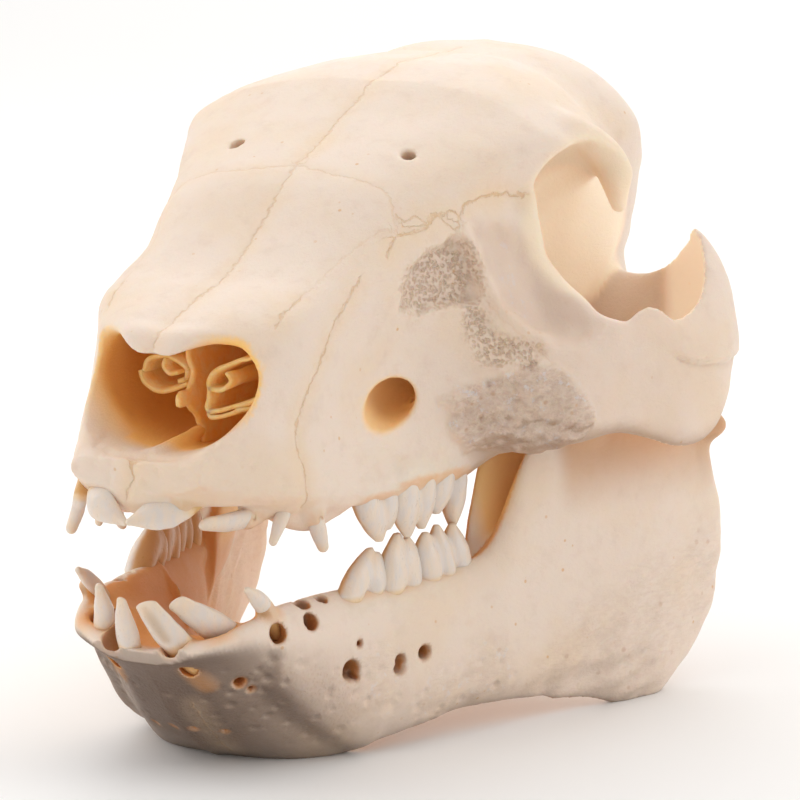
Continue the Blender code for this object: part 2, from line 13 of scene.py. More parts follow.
import bmesh
import bpy
import numpy as np
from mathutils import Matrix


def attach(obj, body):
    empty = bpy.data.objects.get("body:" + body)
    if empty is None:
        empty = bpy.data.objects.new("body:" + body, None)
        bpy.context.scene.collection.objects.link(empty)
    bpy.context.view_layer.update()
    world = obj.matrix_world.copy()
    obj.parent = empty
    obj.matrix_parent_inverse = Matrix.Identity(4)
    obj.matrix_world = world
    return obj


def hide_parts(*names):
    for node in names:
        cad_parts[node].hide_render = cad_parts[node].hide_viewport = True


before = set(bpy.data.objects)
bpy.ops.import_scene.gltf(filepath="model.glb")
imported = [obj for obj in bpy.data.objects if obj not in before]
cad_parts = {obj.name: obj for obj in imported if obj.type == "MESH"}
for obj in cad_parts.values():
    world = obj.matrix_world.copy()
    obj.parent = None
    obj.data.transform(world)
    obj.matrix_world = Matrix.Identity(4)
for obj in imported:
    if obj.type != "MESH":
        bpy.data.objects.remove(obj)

import openvdb
from mathutils import Vector

MM = 0.001
FRONT_TO_ORIGIN = 64.73  # from the front of the upper gum back to the frame's origin
BODY = "root"
FAR = 4.0  # distances on the grid are kept up to this many millimetres
BAND = 8.0  # and are measured this many grid steps to each side of a form's skin
PIECE_TRIANGLES = 190000
BONE_STEP = 0.45  # the bones' grid

log = logging.getLogger("skull")


class Side(Enum):
    """The animal's two sides."""

    LEFT = 1
    RIGHT = -1

    @property
    def word(self) -> str:
        """The side's word in a node's name."""
        return self.name.lower()


class Jaw(Enum):
    """The two bones that carry teeth, with their material slots and which way their teeth grow."""

    UPPER = ("cranium", "bone_cranium", -1)
    LOWER = ("mandible", "bone_mandible", 1)

    @property
    def node(self) -> str:
        """The bone's node."""
        return self.value[0]

    @property
    def slot(self) -> str:
        """The bone's material slot."""
        return self.value[1]


# Cranium sections: distance back, then half outlines from the crown's middle to the palate's middle.
CRANIUM_SECTIONS = (
    (1.0, (0, 48.6), (3, 48.6), (6, 48.6), (9, 48.3), (10.5, 47.6), (11, 46.8), (10.6, 45.8), (9, 44.8),
     (6, 44.3), (0, 44.2)),
    (4.5, (0, 50), (3.5, 50.3), (7, 51), (9.6, 51.8), (11.4, 51.3), (12.4, 49.4), (12.6, 47),
     (12, 44.6), (8.6, 42.8), (0, 43.1)),
    (6.5, (0, 64.6), (3.5, 64.9), (6, 64), (9.5, 60), (12, 56), (13.2, 52), (13.9, 48), (13.4, 44.1),
     (10, 41.9), (0, 42.8)),
    (12.0, (0, 67.6), (4, 68), (8.5, 67.6), (12.4, 65.2), (14.2, 60), (15.9, 54), (17, 48.5),
     (16.6, 43), (12.5, 41.3), (0, 43.2)),
    (20.0, (0, 70.2), (5, 70.6), (11, 70), (16, 67.6), (17.8, 62), (18.3, 54.5), (18.8, 47),
     (18.9, 41.5), (14, 39.8), (0, 43.6)),
    (28.0, (0, 72.6), (5.5, 72.9), (11.8, 72.4), (17, 69.8), (18.7, 63.5), (18.8, 54.5), (19.8, 46.5),
     (20.8, 40.8), (17, 39), (0, 44)),
    (36.0, (0, 77.6), (6, 77.7), (12, 77), (17, 74.2), (19, 66.5), (19, 55.5), (20.5, 47), (22.4, 41),
     (18, 39.2), (0, 44.3)),
    (44.0, (0, 84.1), (7, 84), (13.5, 82.8), (18.5, 79), (20.8, 70), (20.6, 58), (21.8, 48), (23.6, 41),
     (20, 38.6), (0, 44.5)),
    (52.0, (0, 88.1), (8, 88), (15.5, 86.8), (21.3, 83.2), (23.6, 74), (25.5, 62), (28, 52),
     (25.5, 42.5), (21, 38.8), (0, 44.7)),
    (58.0, (0, 90.5), (8.5, 90.5), (17, 89.2), (24, 85.8), (25.8, 77.5), (29.5, 66), (34.5, 55),
     (31, 45.5), (21.5, 39.5), (0, 45)),
    (64.0, (0, 93.1), (9, 93), (18.5, 91.6), (27, 87.6), (27, 79), (32, 67), (39, 56), (37, 47.5),
     (20, 43), (0, 46)),
    (69.0, (0, 95.2), (9.5, 95), (20, 93.1), (29.5, 88.6), (28.5, 81), (31, 68), (37, 57), (33, 50),
     (18, 47), (0, 47.5)),
    (74.0, (0, 97), (10, 96.8), (21, 94.6), (30.8, 89.4), (30.5, 85.5), (20, 76), (17, 66), (14, 56),
     (10, 51), (0, 50)),
    (82.0, (0, 99.2), (10.5, 99), (21.5, 96.2), (31.6, 89.8), (32, 85.5), (20.5, 78), (16.5, 68),
     (14, 59), (10, 54), (0, 53)),
    (90.0, (0, 100.7), (11, 100.3), (21.5, 97), (31, 89.2), (31.5, 84), (22, 77), (19, 68), (16.5, 60),
     (11, 55), (0, 54)),
    (96.0, (0, 101.2), (11, 100.5), (20.5, 96.4), (27, 89.5), (27.3, 82.5), (24, 75), (21.8, 67),
     (18, 59.5), (12, 54.5), (0, 54)),
    (104.0, (0, 100.5), (11, 99.5), (19.5, 95.2), (25.3, 88.3), (25.6, 80.5), (24.8, 72.5),
     (22.3, 64.5), (18.5, 57.5), (12, 53.5), (0, 53.5)),
    (112.0, (0, 98.2), (10.5, 97), (19, 93), (25, 86.5), (25.3, 79.5), (23.8, 71), (21.2, 63),
     (17.5, 56.5), (12, 53.5), (0, 54)),
    (119.0, (0, 94), (10, 92.8), (17.8, 89.4), (23, 83.8), (23.1, 77.5), (21.3, 69.5), (18.8, 62.5),
     (15.5, 57), (11, 55), (0, 55.5)),
    (124.0, (0, 88.5), (8.5, 87.6), (15, 84.8), (19.5, 80), (20, 75), (18.5, 68.5), (16, 63), (13, 59),
     (9, 57.5), (0, 58)),
    (127.0, (0, 82), (6, 81.5), (10.5, 80), (14, 77), (14.5, 73.5), (13.5, 69), (11.5, 65.5), (9, 63),
     (6, 62), (0, 62)),
)

# Walls: centre line across and back, low and high edge, thickness low and high, and outward lean.
ARCH = (
    (22.0, 55.0, 46.0, 62.0, 6.0, 5.0, 0.0),
    (30.0, 59.0, 44.5, 62.0, 8.0, 6.0, 0.0),
    (37.5, 64.0, 44.2, 61.5, 8.0, 5.0, 0.0),
    (42.2, 71.0, 45.2, 61.5, 6.0, 3.8, 0.5),
    (44.8, 77.5, 43.8, 64.2, 4.6, 3.2, 0.2),
    (46.6, 83.0, 41.8, 61.4, 4.2, 3.0, 0.0),
    (47.6, 88.5, 41.2, 62.4, 4.2, 2.8, -0.6),
    (47.6, 93.0, 42.6, 65.2, 4.2, 2.6, -1.4),
    (46.6, 97.0, 45.6, 70.0, 4.2, 2.4, -2.2),
    (44.6, 100.2, 48.0, 73.6, 4.4, 2.2, -3.2),
    (41.2, 103.0, 49.6, 70.2, 6.0, 2.4, -2.6),
    (35.0, 106.4, 51.2, 66.0, 8.0, 3.0, -1.6),
    (26.5, 109.2, 53.0, 64.0, 8.5, 4.6, 0.0),
    (18.0, 110.0, 55.0, 66.0, 8.0, 6.0, 0.0),
)
WING = (
    (8.5, 66.0, 45.5, 54.0, 3.4, 4.0, 0.0),
    (9.6, 72.0, 42.5, 56.0, 2.6, 4.0, 0.0),
    (10.6, 79.0, 39.5, 58.0, 2.4, 5.0, 0.0),
    (11.4, 85.0, 38.5, 58.0, 2.6, 6.0, 0.0),
    (11.6, 90.0, 45.0, 58.0, 3.4, 6.0, 0.0),
)
RAMUS = (
    (14.0, 16.0, 14.0, 24.0, 4.5, 5.0, 0.0),
    (16.6, 25.0, 6.0, 25.0, 5.0, 7.5, 0.0),
    (18.4, 34.0, 1.8, 25.4, 7.0, 8.5, 0.0),
    (21.2, 43.0, 2.4, 25.4, 9.5, 9.0, 0.0),
    (24.2, 52.0, 3.6, 25.6, 9.0, 8.6, 0.0),
    (27.6, 59.0, 3.8, 29.0, 8.0, 6.5, 0.0),
    (30.4, 65.0, 3.6, 42.0, 6.8, 4.0, 0.0),
    (32.6, 71.0, 2.6, 49.0, 5.6, 3.2, 0.4),
    (34.9, 77.0, 1.6, 51.0, 5.0, 3.0, 0.6),
    (37.2, 84.0, -0.6, 47.0, 6.4, 3.0, 1.0),
    (39.0, 91.0, -1.5, 44.0, 6.4, 3.4, 1.6),
    (40.2, 98.0, 2.4, 42.5, 5.0, 4.6, 2.0),
    (40.8, 102.0, 5.6, 41.0, 4.6, 5.6, 2.2),
    (41.3, 105.0, 10.0, 32.0, 4.0, 4.0, 1.8),
    (41.8, 106.6, 15.0, 25.0, 3.0, 3.0, 1.0),
)
POCKET_WALL = (
    (24.6, 58.4, 15.0, 26.5, 3.6, 2.6, -2.0),
    (25.6, 60.4, 15.0, 34.0, 4.4, 2.0, -3.0),
    (27.4, 64.4, 15.0, 43.0, 4.4, 1.8, -4.2),
    (32.0, 75.0, 15.0, 46.5, 4.6, 1.8, -5.6),
    (36.0, 83.0, 16.0, 46.0, 4.6, 2.0, -5.4),
    (39.0, 91.0, 19.0, 43.0, 4.0, 2.4, -2.6),
    (40.4, 97.0, 23.0, 40.0, 3.0, 2.4, -0.4),
)

# Nose chamber: distance back, then half outlines from its roof's middle to its floor's middle.
NOSE_SECTIONS = (
    (-6.0, (0, 63.0), (3, 63.2), (8, 70), (20, 73), (23, 63), (18, 55.5), (9, 50), (0, 49)),
    (4.0, (0, 63.0), (3, 63.4), (8, 69), (20, 71), (21, 62), (16.5, 55.2), (8, 50), (0, 49)),
    (8.0, (0, 63.3), (4.4, 64), (9, 67), (18, 69), (19, 62), (14.8, 55), (7.5, 50), (0, 48.8)),
    (11.0, (0, 63.8), (5, 64.4), (8.6, 65.2), (13, 65.5), (15.4, 61), (12.8, 55), (7, 50), (0, 48.6)),
    (14.0, (0, 64.4), (5, 65), (9, 64.9), (12, 63.4), (13.6, 59.6), (12, 54.6), (6.5, 49.6), (0, 48.4)),
    (20.0, (0, 66.4), (5, 66.8), (9.5, 66.2), (12.6, 63.6), (14, 58.5), (12, 52.6), (6.5, 49), (0, 48.2)),
    (28.0, (0, 69), (5.5, 69.2), (10.5, 68.2), (13.6, 65), (14.6, 59), (12.5, 52.4), (7, 48.8), (0, 48.2)),
    (36.0, (0, 73), (6, 72.8), (11, 71.4), (14, 67), (14.8, 59), (12.5, 52.2), (7, 48.8), (0, 48.4)),
    (46.0, (0, 78), (7, 77.4), (12, 75), (14.5, 68), (14, 59), (12, 52.4), (7, 49.4), (0, 49)),
    (58.0, (0, 79), (7, 78), (12, 74), (13.5, 66), (12.5, 58), (10.5, 52.6), (6.5, 50), (0, 49.8)),
    (67.0, (0, 73), (5, 72.4), (9, 69), (10.5, 63), (10, 57), (8.5, 53), (5, 50.6), (0, 50.4)),
)

# Lower jaw, symphysis: distance back, then half outlines from the tongue side to the chin side.
SYMPHYSIS_SECTIONS = (
    (2.2, (0, 20.4), (3, 20.8), (6, 21.2), (8.0, 21.0), (8.4, 20.3), (7, 19.4), (4, 18.6), (0, 18.4)),
    (6.0, (0, 20.2), (4, 20.6), (8.6, 22.2), (11.6, 22.8), (12, 20.6), (8.6, 17.8), (4.5, 15.6), (0, 14.6)),
    (11.0, (0, 20.2), (5, 20.6), (9.8, 22.8), (14, 24.4), (15, 21), (11.5, 15.6), (6.2, 10.6), (0, 8.6)),
    (17.0, (0, 19.8), (5, 20.2), (11, 22.8), (15, 25.6), (17.2, 21), (14.6, 13.8), (8.6, 6.6), (0, 3.6)),
    (23.0, (0, 16.5), (5, 17), (11.5, 21), (15.5, 25.6), (18.8, 20), (16.6, 11.4), (10.6, 2.8), (0, 0.2)),
    (29.0, (0, 11), (5, 12), (12, 19), (16.5, 25.4), (20, 19), (18.6, 10), (13, -0.2), (0, -1.0)),
    (35.0, (0, 6), (5, 8.5), (13, 18), (18, 25.2), (21.4, 19), (21, 9), (16, 0.0), (0, 0.4)),
)

# Peg teeth: the way their face looks, then root to tip as across, back, up, width and depth.
PEGS = {
    "upper_incisor_1": ((0.4, -0.75, 0.5),
        ((9.4, 9.4, 46.6, 2.6, 1.8), (7.4, 5.4, 43.5, 4.2, 2.7), (3.9, 1.9, 41.3, 5.2, 2.5),
         (0.5, -1.2, 40.1, 1.1, 0.8))),
    "upper_incisor_2": ((0.6, -0.2, -0.7),
        ((13.6, 18.6, 43.2, 2.0, 1.8), (12.3, 14.6, 39.9, 3.2, 2.4), (10.7, 10.2, 39.2, 3.7, 2.4),
         (9.0, 6.1, 39.4, 2.6, 1.6))),
    "upper_incisor_3": ((0.8, -0.6, 0.0),
        ((15.6, 20.4, 46.6, 1.6, 1.6), (15.8, 18.3, 42.2, 2.1, 2.0), (15.4, 16.6, 38.7, 2.1, 1.9),
         (15.0, 15.1, 35.8, 1.3, 1.2))),
    "upper_canine": ((0.8, -0.6, 0.0),
        ((16.4, 21.9, 45.0, 1.9, 1.8), (17.2, 22.4, 39.8, 2.6, 2.3), (17.6, 23.7, 36.2, 2.5, 2.2),
         (17.5, 25.3, 33.4, 1.8, 1.5))),
    "lower_incisor_1": ((0.2, -0.75, -0.6),
        ((7.0, 9.4, 15.8, 2.6, 2.4), (5.4, 5.6, 20.3, 4.6, 3.0), (3.9, 2.4, 24.2, 4.8, 2.6),
         (2.7, 0.0, 27.8, 3.9, 1.2))),
    "lower_incisor_2": ((0.5, -0.6, -0.6),
        ((11.7, 16.6, 17.2, 2.6, 2.4), (10.3, 12.4, 20.6, 4.5, 3.2), (8.3, 7.4, 24.6, 4.8, 2.9),
         (6.3, 2.6, 28.0, 3.3, 1.4))),
    "lower_incisor_3": ((0.8, -0.6, 0.0),
        ((14.0, 17.6, 21.0, 1.8, 1.7), (14.4, 14.4, 25.2, 2.5, 2.2), (14.6, 11.2, 27.9, 2.4, 2.0),
         (14.5, 8.5, 29.7, 1.1, 1.0))),
}

# The same for teeth that stand otherwise on the right, with across measured outwards.
RIGHT_PEGS = {
    "upper_incisor_1": ((8.8, 8.4, 47.0, 2.4, 1.8), (7.7, 3.9, 43.7, 3.6, 2.6),
                        (5.3, 0.8, 41.8, 4.6, 2.5), (0.9, -0.2, 39.7, 1.1, 0.8)),
    "upper_incisor_2": ((13.2, 10.0, 46.0, 1.8, 1.7), (12.0, 6.0, 42.4, 2.3, 2.1),
                        (12.5, 5.6, 39.6, 2.4, 2.0), (13.3, 5.0, 36.8, 2.0, 1.6)),
    "lower_incisor_1": ((3.6, 8.6, 15.6, 2.4, 2.2), (3.0, 4.6, 19.8, 3.4, 2.8),
                        (2.2, 2.0, 23.8, 3.6, 2.5), (1.5, -0.2, 28.0, 1.7, 1.1)),
    "lower_incisor_2": ((11.2, 12.5, 17.5, 2.4, 2.2), (9.2, 7.2, 21.4, 3.0, 2.8),
                        (7.7, 4.8, 25.4, 3.4, 2.6), (6.8, 2.2, 29.0, 1.6, 1.2)),
}

# Cheek teeth: across at the front and back ends, half width, gum height and root height, then the
# lobes as distance back at the gum and at the tip, height of the tip, and half length.
CHEEK_TEETH = {
    "upper_premolar_2": (19.1, 20.9, 2.15, 39.8, 43.2, ((33.4, 37.6, 32.2, 3.5), (38.2, 39.6, 33.8, 2.7))),
    "upper_premolar_3": (21.2, 22.5, 2.4, 40.8, 43.8, ((41.4, 43.6, 32.0, 3.4), (46.4, 47.2, 32.6, 2.9))),
    "upper_premolar_4": (22.8, 23.3, 2.5, 40.8, 43.8, ((50.8, 50.6, 34.4, 3.2), (54.8, 55.2, 31.6, 2.1))),
    "lower_premolar_2": (17.9, 19.8, 2.1, 25.2, 19.8, ((31.6, 36.4, 31.3, 3.6), (36.6, 38.0, 30.4, 2.8))),
    "lower_premolar_3": (20.2, 21.8, 2.25, 25.0, 19.4, ((40.0, 41.8, 32.8, 3.2), (44.0, 44.2, 31.8, 2.8))),
    "lower_premolar_4": (22.2, 24.6, 2.35, 25.6, 19.4, ((47.8, 47.6, 32.0, 2.8),
                                                        (51.2, 50.2, 32.8, 2.3), (55.0, 53.8, 32.4, 2.7))),
}

# Bored canals and pits of the bones: points along them, with a radius at each.
CRANIUM_CANALS = (
    (((14.9, 53.0, 89.8), (14.6, 55.4, 87.6), (14.0, 58.0, 85.4)), (0.9, 1.15, 0.8)),
    (((22.8, 36.0, 52.2), (19.2, 42.4, 52.7), (18.2, 48.0, 53.6), (19.8, 56.0, 56.0),
     (24.0, 74.0, 60.0)), (3.8, 3.6, 3.1, 2.9, 2.6)),
)
MANDIBLE_CANALS = (
    (((23.6, 26.2, 14.5), (20.4, 28.0, 14.5), (16.4, 30.2, 14.8)), (1.55, 1.5, 1.1)),
    (((22.6, 28.6, 18.5), (20.8, 29.7, 18.3), (18.8, 31.0, 18.0)), (0.5, 0.5, 0.4)),
    (((22.4, 28.3, 13.0), (20.6, 29.3, 13.1), (18.8, 30.4, 13.2)), (0.45, 0.45, 0.35)),
    (((25.4, 36.8, 14.6), (23.6, 37.6, 14.4), (21.2, 38.6, 14.0)), (0.75, 0.75, 0.6)),
    (((25.2, 37.6, 13.2), (23.6, 37.4, 13.1), (21.6, 38.2, 13.4)), (0.75, 0.75, 0.6)),
    (((27.6, 40.8, 14.9), (25.4, 41.9, 14.9), (22.6, 43.6, 15.0)), (1.0, 1.05, 0.8)),
    (((12.6, 9.9, 14.6), (11.2, 11.7, 15.0), (9.4, 13.8, 16.0)), (0.95, 0.9, 0.6)),
    (((13.6, 12.6, 13.0), (12.2, 13.4, 13.6), (10.6, 15.0, 14.4)), (0.5, 0.5, 0.4)),
    (((16.2, 20.6, 27.0), (15.8, 21.6, 24.6), (15.2, 22.6, 20.6)), (1.25, 1.15, 0.8)),
    (((17.2, 25.2, 27.0), (16.8, 25.6, 24.8), (16.4, 26.0, 22.0)), (0.9, 0.8, 0.6)),
    (((17.9, 20.6, 23.0), (16.8, 21.6, 22.2), (15.6, 22.6, 21.4)), (1.2, 1.1, 0.8)),
    (((16.0, 14.2, 22.4), (15.2, 15.0, 21.8), (14.4, 15.8, 21.2)), (1.3, 1.5, 1.1)),
    (((2.2, 12.6, 4.9), (1.6, 14.4, 6.6), (1.2, 16.4, 8.8)), (0.6, 0.55, 0.4)),
    (((6.6, 14.4, 4.6), (5.9, 16.3, 6.2), (5.2, 18.4, 8.4)), (0.55, 0.5, 0.4)),
)


@dataclass(frozen=True)
class Seam:
    """A line where two bones meet: its points, how dark it is, and how deep its groove is."""

    points: tuple
    strength: float
    depth: float
    both: bool = True


CRANIUM_SEAMS = (
    Seam(((0, 6.4, 64.2), (0.2, 9.1, 66.8), (-0.2, 18.3, 69.6), (0.2, 25.3, 71.7), (-0.1, 33.5, 76.1),
         (0.1, 39.3, 80.3),
          (-0.2, 45.7, 85.0), (0.1, 56.0, 89.7), (-0.3, 60.9, 91.7), (0.2, 66.6, 94.2),
          (-0.3, 71.3, 96.1), (0.2, 76.2, 97.7),
          (-0.3, 80.9, 98.9), (0.2, 86.0, 99.9), (-0.2, 92.0, 100.9), (0.1, 99.0, 101.0)), 0.62, 0.22, False),
    Seam(((0.0, 48.2, 86.3), (3.6, 47.4, 86.0), (7.5, 46.6, 85.4), (11.0, 46.6, 84.8),
         (13.6, 46.4, 84.1), (16.1, 46.5, 83.1),
          (17.0, 45.4, 81.8), (17.7, 44.6, 80.4), (18.9, 43.6, 77.6)), 0.42, 0.12),
    Seam(((18.6, 41.4, 75.4), (18.9, 43.6, 77.6), (20.7, 47.5, 78.0), (21.9, 50.9, 80.1),
         (23.4, 53.9, 80.1), (23.9, 54.4, 78.8),
          (23.9, 55.3, 80.7), (25.1, 58.0, 81.7), (26.3, 61.6, 82.0), (28.4, 67.6, 81.4)), 0.95, 0.25),
    Seam(((18.2, 44.6, 80.4), (19.4, 45.9, 79.3), (19.8, 47.5, 80.3), (21.0, 48.5, 79.1),
         (21.6, 50.5, 80.3), (22.6, 51.8, 78.8),
          (23.7, 53.6, 77.7), (23.9, 54.6, 79.2)), 0.75, 0.15),
    Seam(((23.9, 54.6, 78.2), (24.5, 54.6, 75.4), (25.4, 54.9, 71.7), (27.0, 56.0, 67.4),
         (30.3, 57.8, 63.6), (33.8, 59.4, 60.2),
          (36.8, 60.4, 57.2)), 0.3, 0.2),
    Seam(((17.4, 34.2, 71.8), (17.7, 29.8, 69.0), (18.1, 26.2, 65.8), (18.3, 24.3, 63.1),
         (18.2, 21.6, 59.7), (17.8, 19.2, 56.3),
          (17.8, 17.4, 52.9), (18.0, 16.9, 49.9), (18.4, 17.7, 46.8), (18.6, 18.1, 44.1),
          (17.9, 18.8, 41.0)), 0.85, 0.28),
    Seam(((14.4, 17.4, 67.4), (14.2, 19.4, 68.4), (14.0, 21.3, 69.1), (13.7, 24.5, 70.4)), 0.8, 0.3),
    Seam(((13.7, 24.5, 70.4), (14.4, 31.0, 73.6), (16.0, 37.6, 76.6), (17.6, 41.6, 78.6),
         (18.9, 43.6, 77.6)), 0.3, 0.1),
    Seam(((0.1, 0.6, 49.4), (-0.4, 1.0, 47.3), (-0.1, 1.2, 45.8), (-0.8, 1.5, 44.0)), 1.0, 0.35, False),
)
MANDIBLE_SEAMS = (
    Seam(((4.4, 10.0, 11.0), (4.2, 13.3, 7.8), (3.9, 17.0, 4.8), (3.7, 21.0, 2.0)), 0.35, 0.3, False),
)


@dataclass(frozen=True)
class Patch:
    """A region of a bone's surface: balls that cover it, each as across, back, up and radius."""

    balls: tuple


@dataclass(frozen=True)
class Field:
    """A region of the face's side with a drawn outline, given as places back and up."""

    outline: tuple
    across: tuple

    def inside(self, points: np.ndarray) -> np.ndarray:
        """How far inside the outline each point lies, in millimetres, on whichever side it is.

        Args:
            points: rows of across, back and up.

        Returns:
            Distances, below nought outside; places off the face's side lie far outside.
        """
        gap = np.full(len(points), -FAR)
        edge = catmull_rom((*self.outline, self.outline[0]), 4)[:-1]
        out = np.abs(points[:, 0])
        low, high = edge.min(0) - FAR, edge.max(0) + FAR
        near = (out > self.across[0]) & (out < self.across[1])
        near &= np.all((points[:, 1:] > low) & (points[:, 1:] < high), axis=1)
        flat = points[near, 1:]
        best, crossings = np.full(len(flat), FAR), np.zeros(len(flat), int)
        for a, b in zip(edge, np.roll(edge, -1, axis=0)):
            ahead = b - a
            share = np.clip(((flat - a) @ ahead) / (ahead @ ahead), 0, 1)
            best = np.minimum(best, np.linalg.norm(flat - a - share[:, None] * ahead, axis=1))
            spans = (a[1] > flat[:, 1]) != (b[1] > flat[:, 1])
            reach = a[0] + (flat[:, 1] - a[1]) * ahead[0] / (ahead[1] if ahead[1] else 1e-9)
            crossings += spans & (flat[:, 0] < reach)
        gap[near] = np.where(crossings % 2, best, -best) + Grain(2.2, 51).soft(points[near]) * 0.9
        return gap


FOSSA = Field(((41.2, 65.6), (42.6, 70.6), (46.0, 73.4), (49.6, 74.8), (53.6, 76.2), (55.6, 74.0),
              (55.8, 70.0), (55.4, 66.4), (50.4, 65.6)), (16, 30))
LOWER_FOSSA = Field(((53.2, 66.0), (55.8, 65.4), (57.4, 62.2), (59.6, 59.2), (57.0, 57.4), (54.4, 57.2),
                    (53.0, 61.0)), (18, 40))
FLANK = Field(((56.8, 77.0), (62.0, 78.0), (66.2, 75.0), (66.6, 69.0), (68.6, 62.6), (64.6, 60.0),
              (60.0, 61.6), (57.6, 66.6)), (20, 42))
CREST = Field(((48.6, 51.6), (51.6, 55.0), (55.4, 56.2), (58.2, 57.4), (60.4, 56.4), (62.2, 54.0),
              (63.6, 51.0), (64.6, 47.4), (63.2, 44.6), (58.1, 43.4), (53.4, 44.6), (50.0, 47.6)), (18, 48))
STEP_LINE = ((70.0, 57.6), (80.0, 56.6), (82.5, 55.7), (84.5, 54.8), (88.0, 54.1), (94.0, 53.6),
             (97.0, 53.9), (112.0, 54.2))
SNOUT_SIDE = Patch(((19.6, 30.0, 44.0, 4.0), (21.0, 38.0, 44.0, 4.4), (23.4, 46.0, 44.4, 4.4),
                   (18.6, 22.0, 44.0, 3.4)))
LIP = Patch(((0.0, 0.8, 47.0, 5.0), (6.0, 1.6, 47.0, 5.5), (11.0, 4.0, 47.4, 6.0),
            (-6.0, 1.6, 47.0, 5.0), (-11.0, 4.0, 47.4, 4.6), (15.0, 7.0, 46.6, 6.0),
            (17.4, 14.0, 45.6, 5.0)))
JAW_CORNER = Patch(((34.0, 71.0, 6.0, 7.0), (38.0, 78.0, 10.0, 9.0), (41.0, 88.0, 13.0, 10.0),
                   (43.0, 98.0, 17.0, 9.0), (40.0, 86.0, 4.0, 7.0)))
JAW_SIDE = Patch(((25.9, 46.0, 7.0, 5.5), (29.4, 55.0, 9.5, 5.5), (23.0, 33.0, 12.0, 6.0)))
CHIN = Patch(((6.0, 12.0, 10.0, 9.0), (0.0, 10.0, 8.0, 9.0), (12.0, 16.0, 12.0, 8.0),
             (-8.0, 12.0, 10.0, 9.0), (16.0, 24.0, 10.0, 8.0)))


def catmull_rom(points: object, steps: int) -> np.ndarray:
    """Draws a smooth curve through points.

    Args:
        points: rows of numbers, one row for each place.
        steps: how many steps each span is cut into.

    Returns:
        Rows of numbers along the curve, both ends included.
    """
    given = np.asarray(points, float)
    ends = np.concatenate([2 * given[:1] - given[1:2], given, 2 * given[-1:] - given[-2:-1]])
    share = (np.arange(steps) / steps)[:, None]
    curve = []
    for a, b, c, d in zip(ends, ends[1:], ends[2:], ends[3:]):
        bend = (2 * a - 5 * b + 4 * c - d) * share**2 + (3 * b - a - 3 * c + d) * share**3
        curve.append(0.5 * (2 * b + (c - a) * share + bend))
    return np.concatenate([*curve, given[-1:]])


def ease(low: float, high: float, values: np.ndarray) -> np.ndarray:
    """Rises smoothly from 0 at low to 1 at high; it falls instead if high is the lower.

    Args:
        low: the value that gives 0.
        high: the value that gives 1.
        values: the values to judge.

    Returns:
        The shares, as many as the values.
    """
    share = np.clip((values - low) / (high - low), 0, 1)
    return share * share * (3 - 2 * share)


def fade(points: np.ndarray, across: tuple = (), back: tuple = (), up: tuple = ()) -> np.ndarray:
    """Fades a region in and out by place.

    Args:
        points: rows of across, back and up.
        across: where along that axis it is 0 and where it is 1; empty for everywhere.
        back: the same for back.
        up: the same for up.

    Returns:
        The shares, as many as the points.
    """
    share = np.ones(len(points))
    for values, ends in zip(points.T, (across, back, up)):
        if ends:
            share *= ease(*ends, values)
    return share


def to_left(points: np.ndarray) -> np.ndarray:
    """The same points with those of the right side mirrored to the left."""
    return points * np.where(points[:, :1] < 0, (-1, 1, 1), (1, 1, 1))


def tube_distance(places: np.ndarray, points: object, radii: object, steps: int = 4) -> np.ndarray:
    """Measures from places to the skin of a round tube whose radius changes along it.

    Args:
        places: an array whose last axis is across, back and up.
        points: the tube's centre line.
        radii: its radius at each point.
        steps: how many straight pieces each span is cut into.

    Returns:
        Distances in millimetres, below nought inside the tube.
    """
    line = catmull_rom(np.column_stack([points, radii]), steps)
    best = np.full(places.shape[:-1], 1e3, np.float32)
    for near, far in zip(line, line[1:]):
        along = far[:3] - near[:3]
        share = np.clip(((places - near[:3]) @ along) / max(along @ along, 1e-9), 0, 1)
        gap = np.linalg.norm(places - near[:3] - share[..., None] * along, axis=-1)
        np.minimum(best, gap - near[3] - share * (far[3] - near[3]), out=best)
    return best


def egg_distance(places: np.ndarray, centre: tuple, radii: tuple, turn: float = 0.0) -> np.ndarray:
    """Measures from places to the skin of an egg-shaped form.

    Args:
        places: an array whose last axis is across, back and up.
        centre: the middle of the egg.
        radii: its half sizes across, back and up.
        turn: how far it is turned about the upright axis, in degrees.

    Returns:
        Distances in millimetres, below nought inside.
    """
    angle = math.radians(turn)
    cos, sin = math.cos(angle), math.sin(angle)
    spin = np.array([[cos, -sin, 0], [sin, cos, 0], [0, 0, 1]])
    local = (places - np.array(centre)) @ spin
    near = np.linalg.norm(local / radii, axis=-1)
    slope = np.linalg.norm(local / np.square(radii), axis=-1)
    return near * (near - 1) / np.maximum(slope, 1e-6)


def covered(places: np.ndarray, patch: Patch, soft: float = 0.35) -> np.ndarray:
    """Says how far places lie inside a patch, on whichever side of the skull they are.

    Args:
        places: rows of across, back and up.
        patch: the balls that cover it.
        soft: the share of a ball's radius over which it fades out.

    Returns:
        1 well inside, 0 outside, and between at the edge.
    """
    mirrored = to_left(places)
    shares = np.zeros(len(places))
    for *centre, radius in patch.balls:
        gap = np.linalg.norm(mirrored - centre, axis=1)
        shares = np.maximum(shares, ease(radius * (1 + soft), radius * (1 - soft), gap))
    return shares


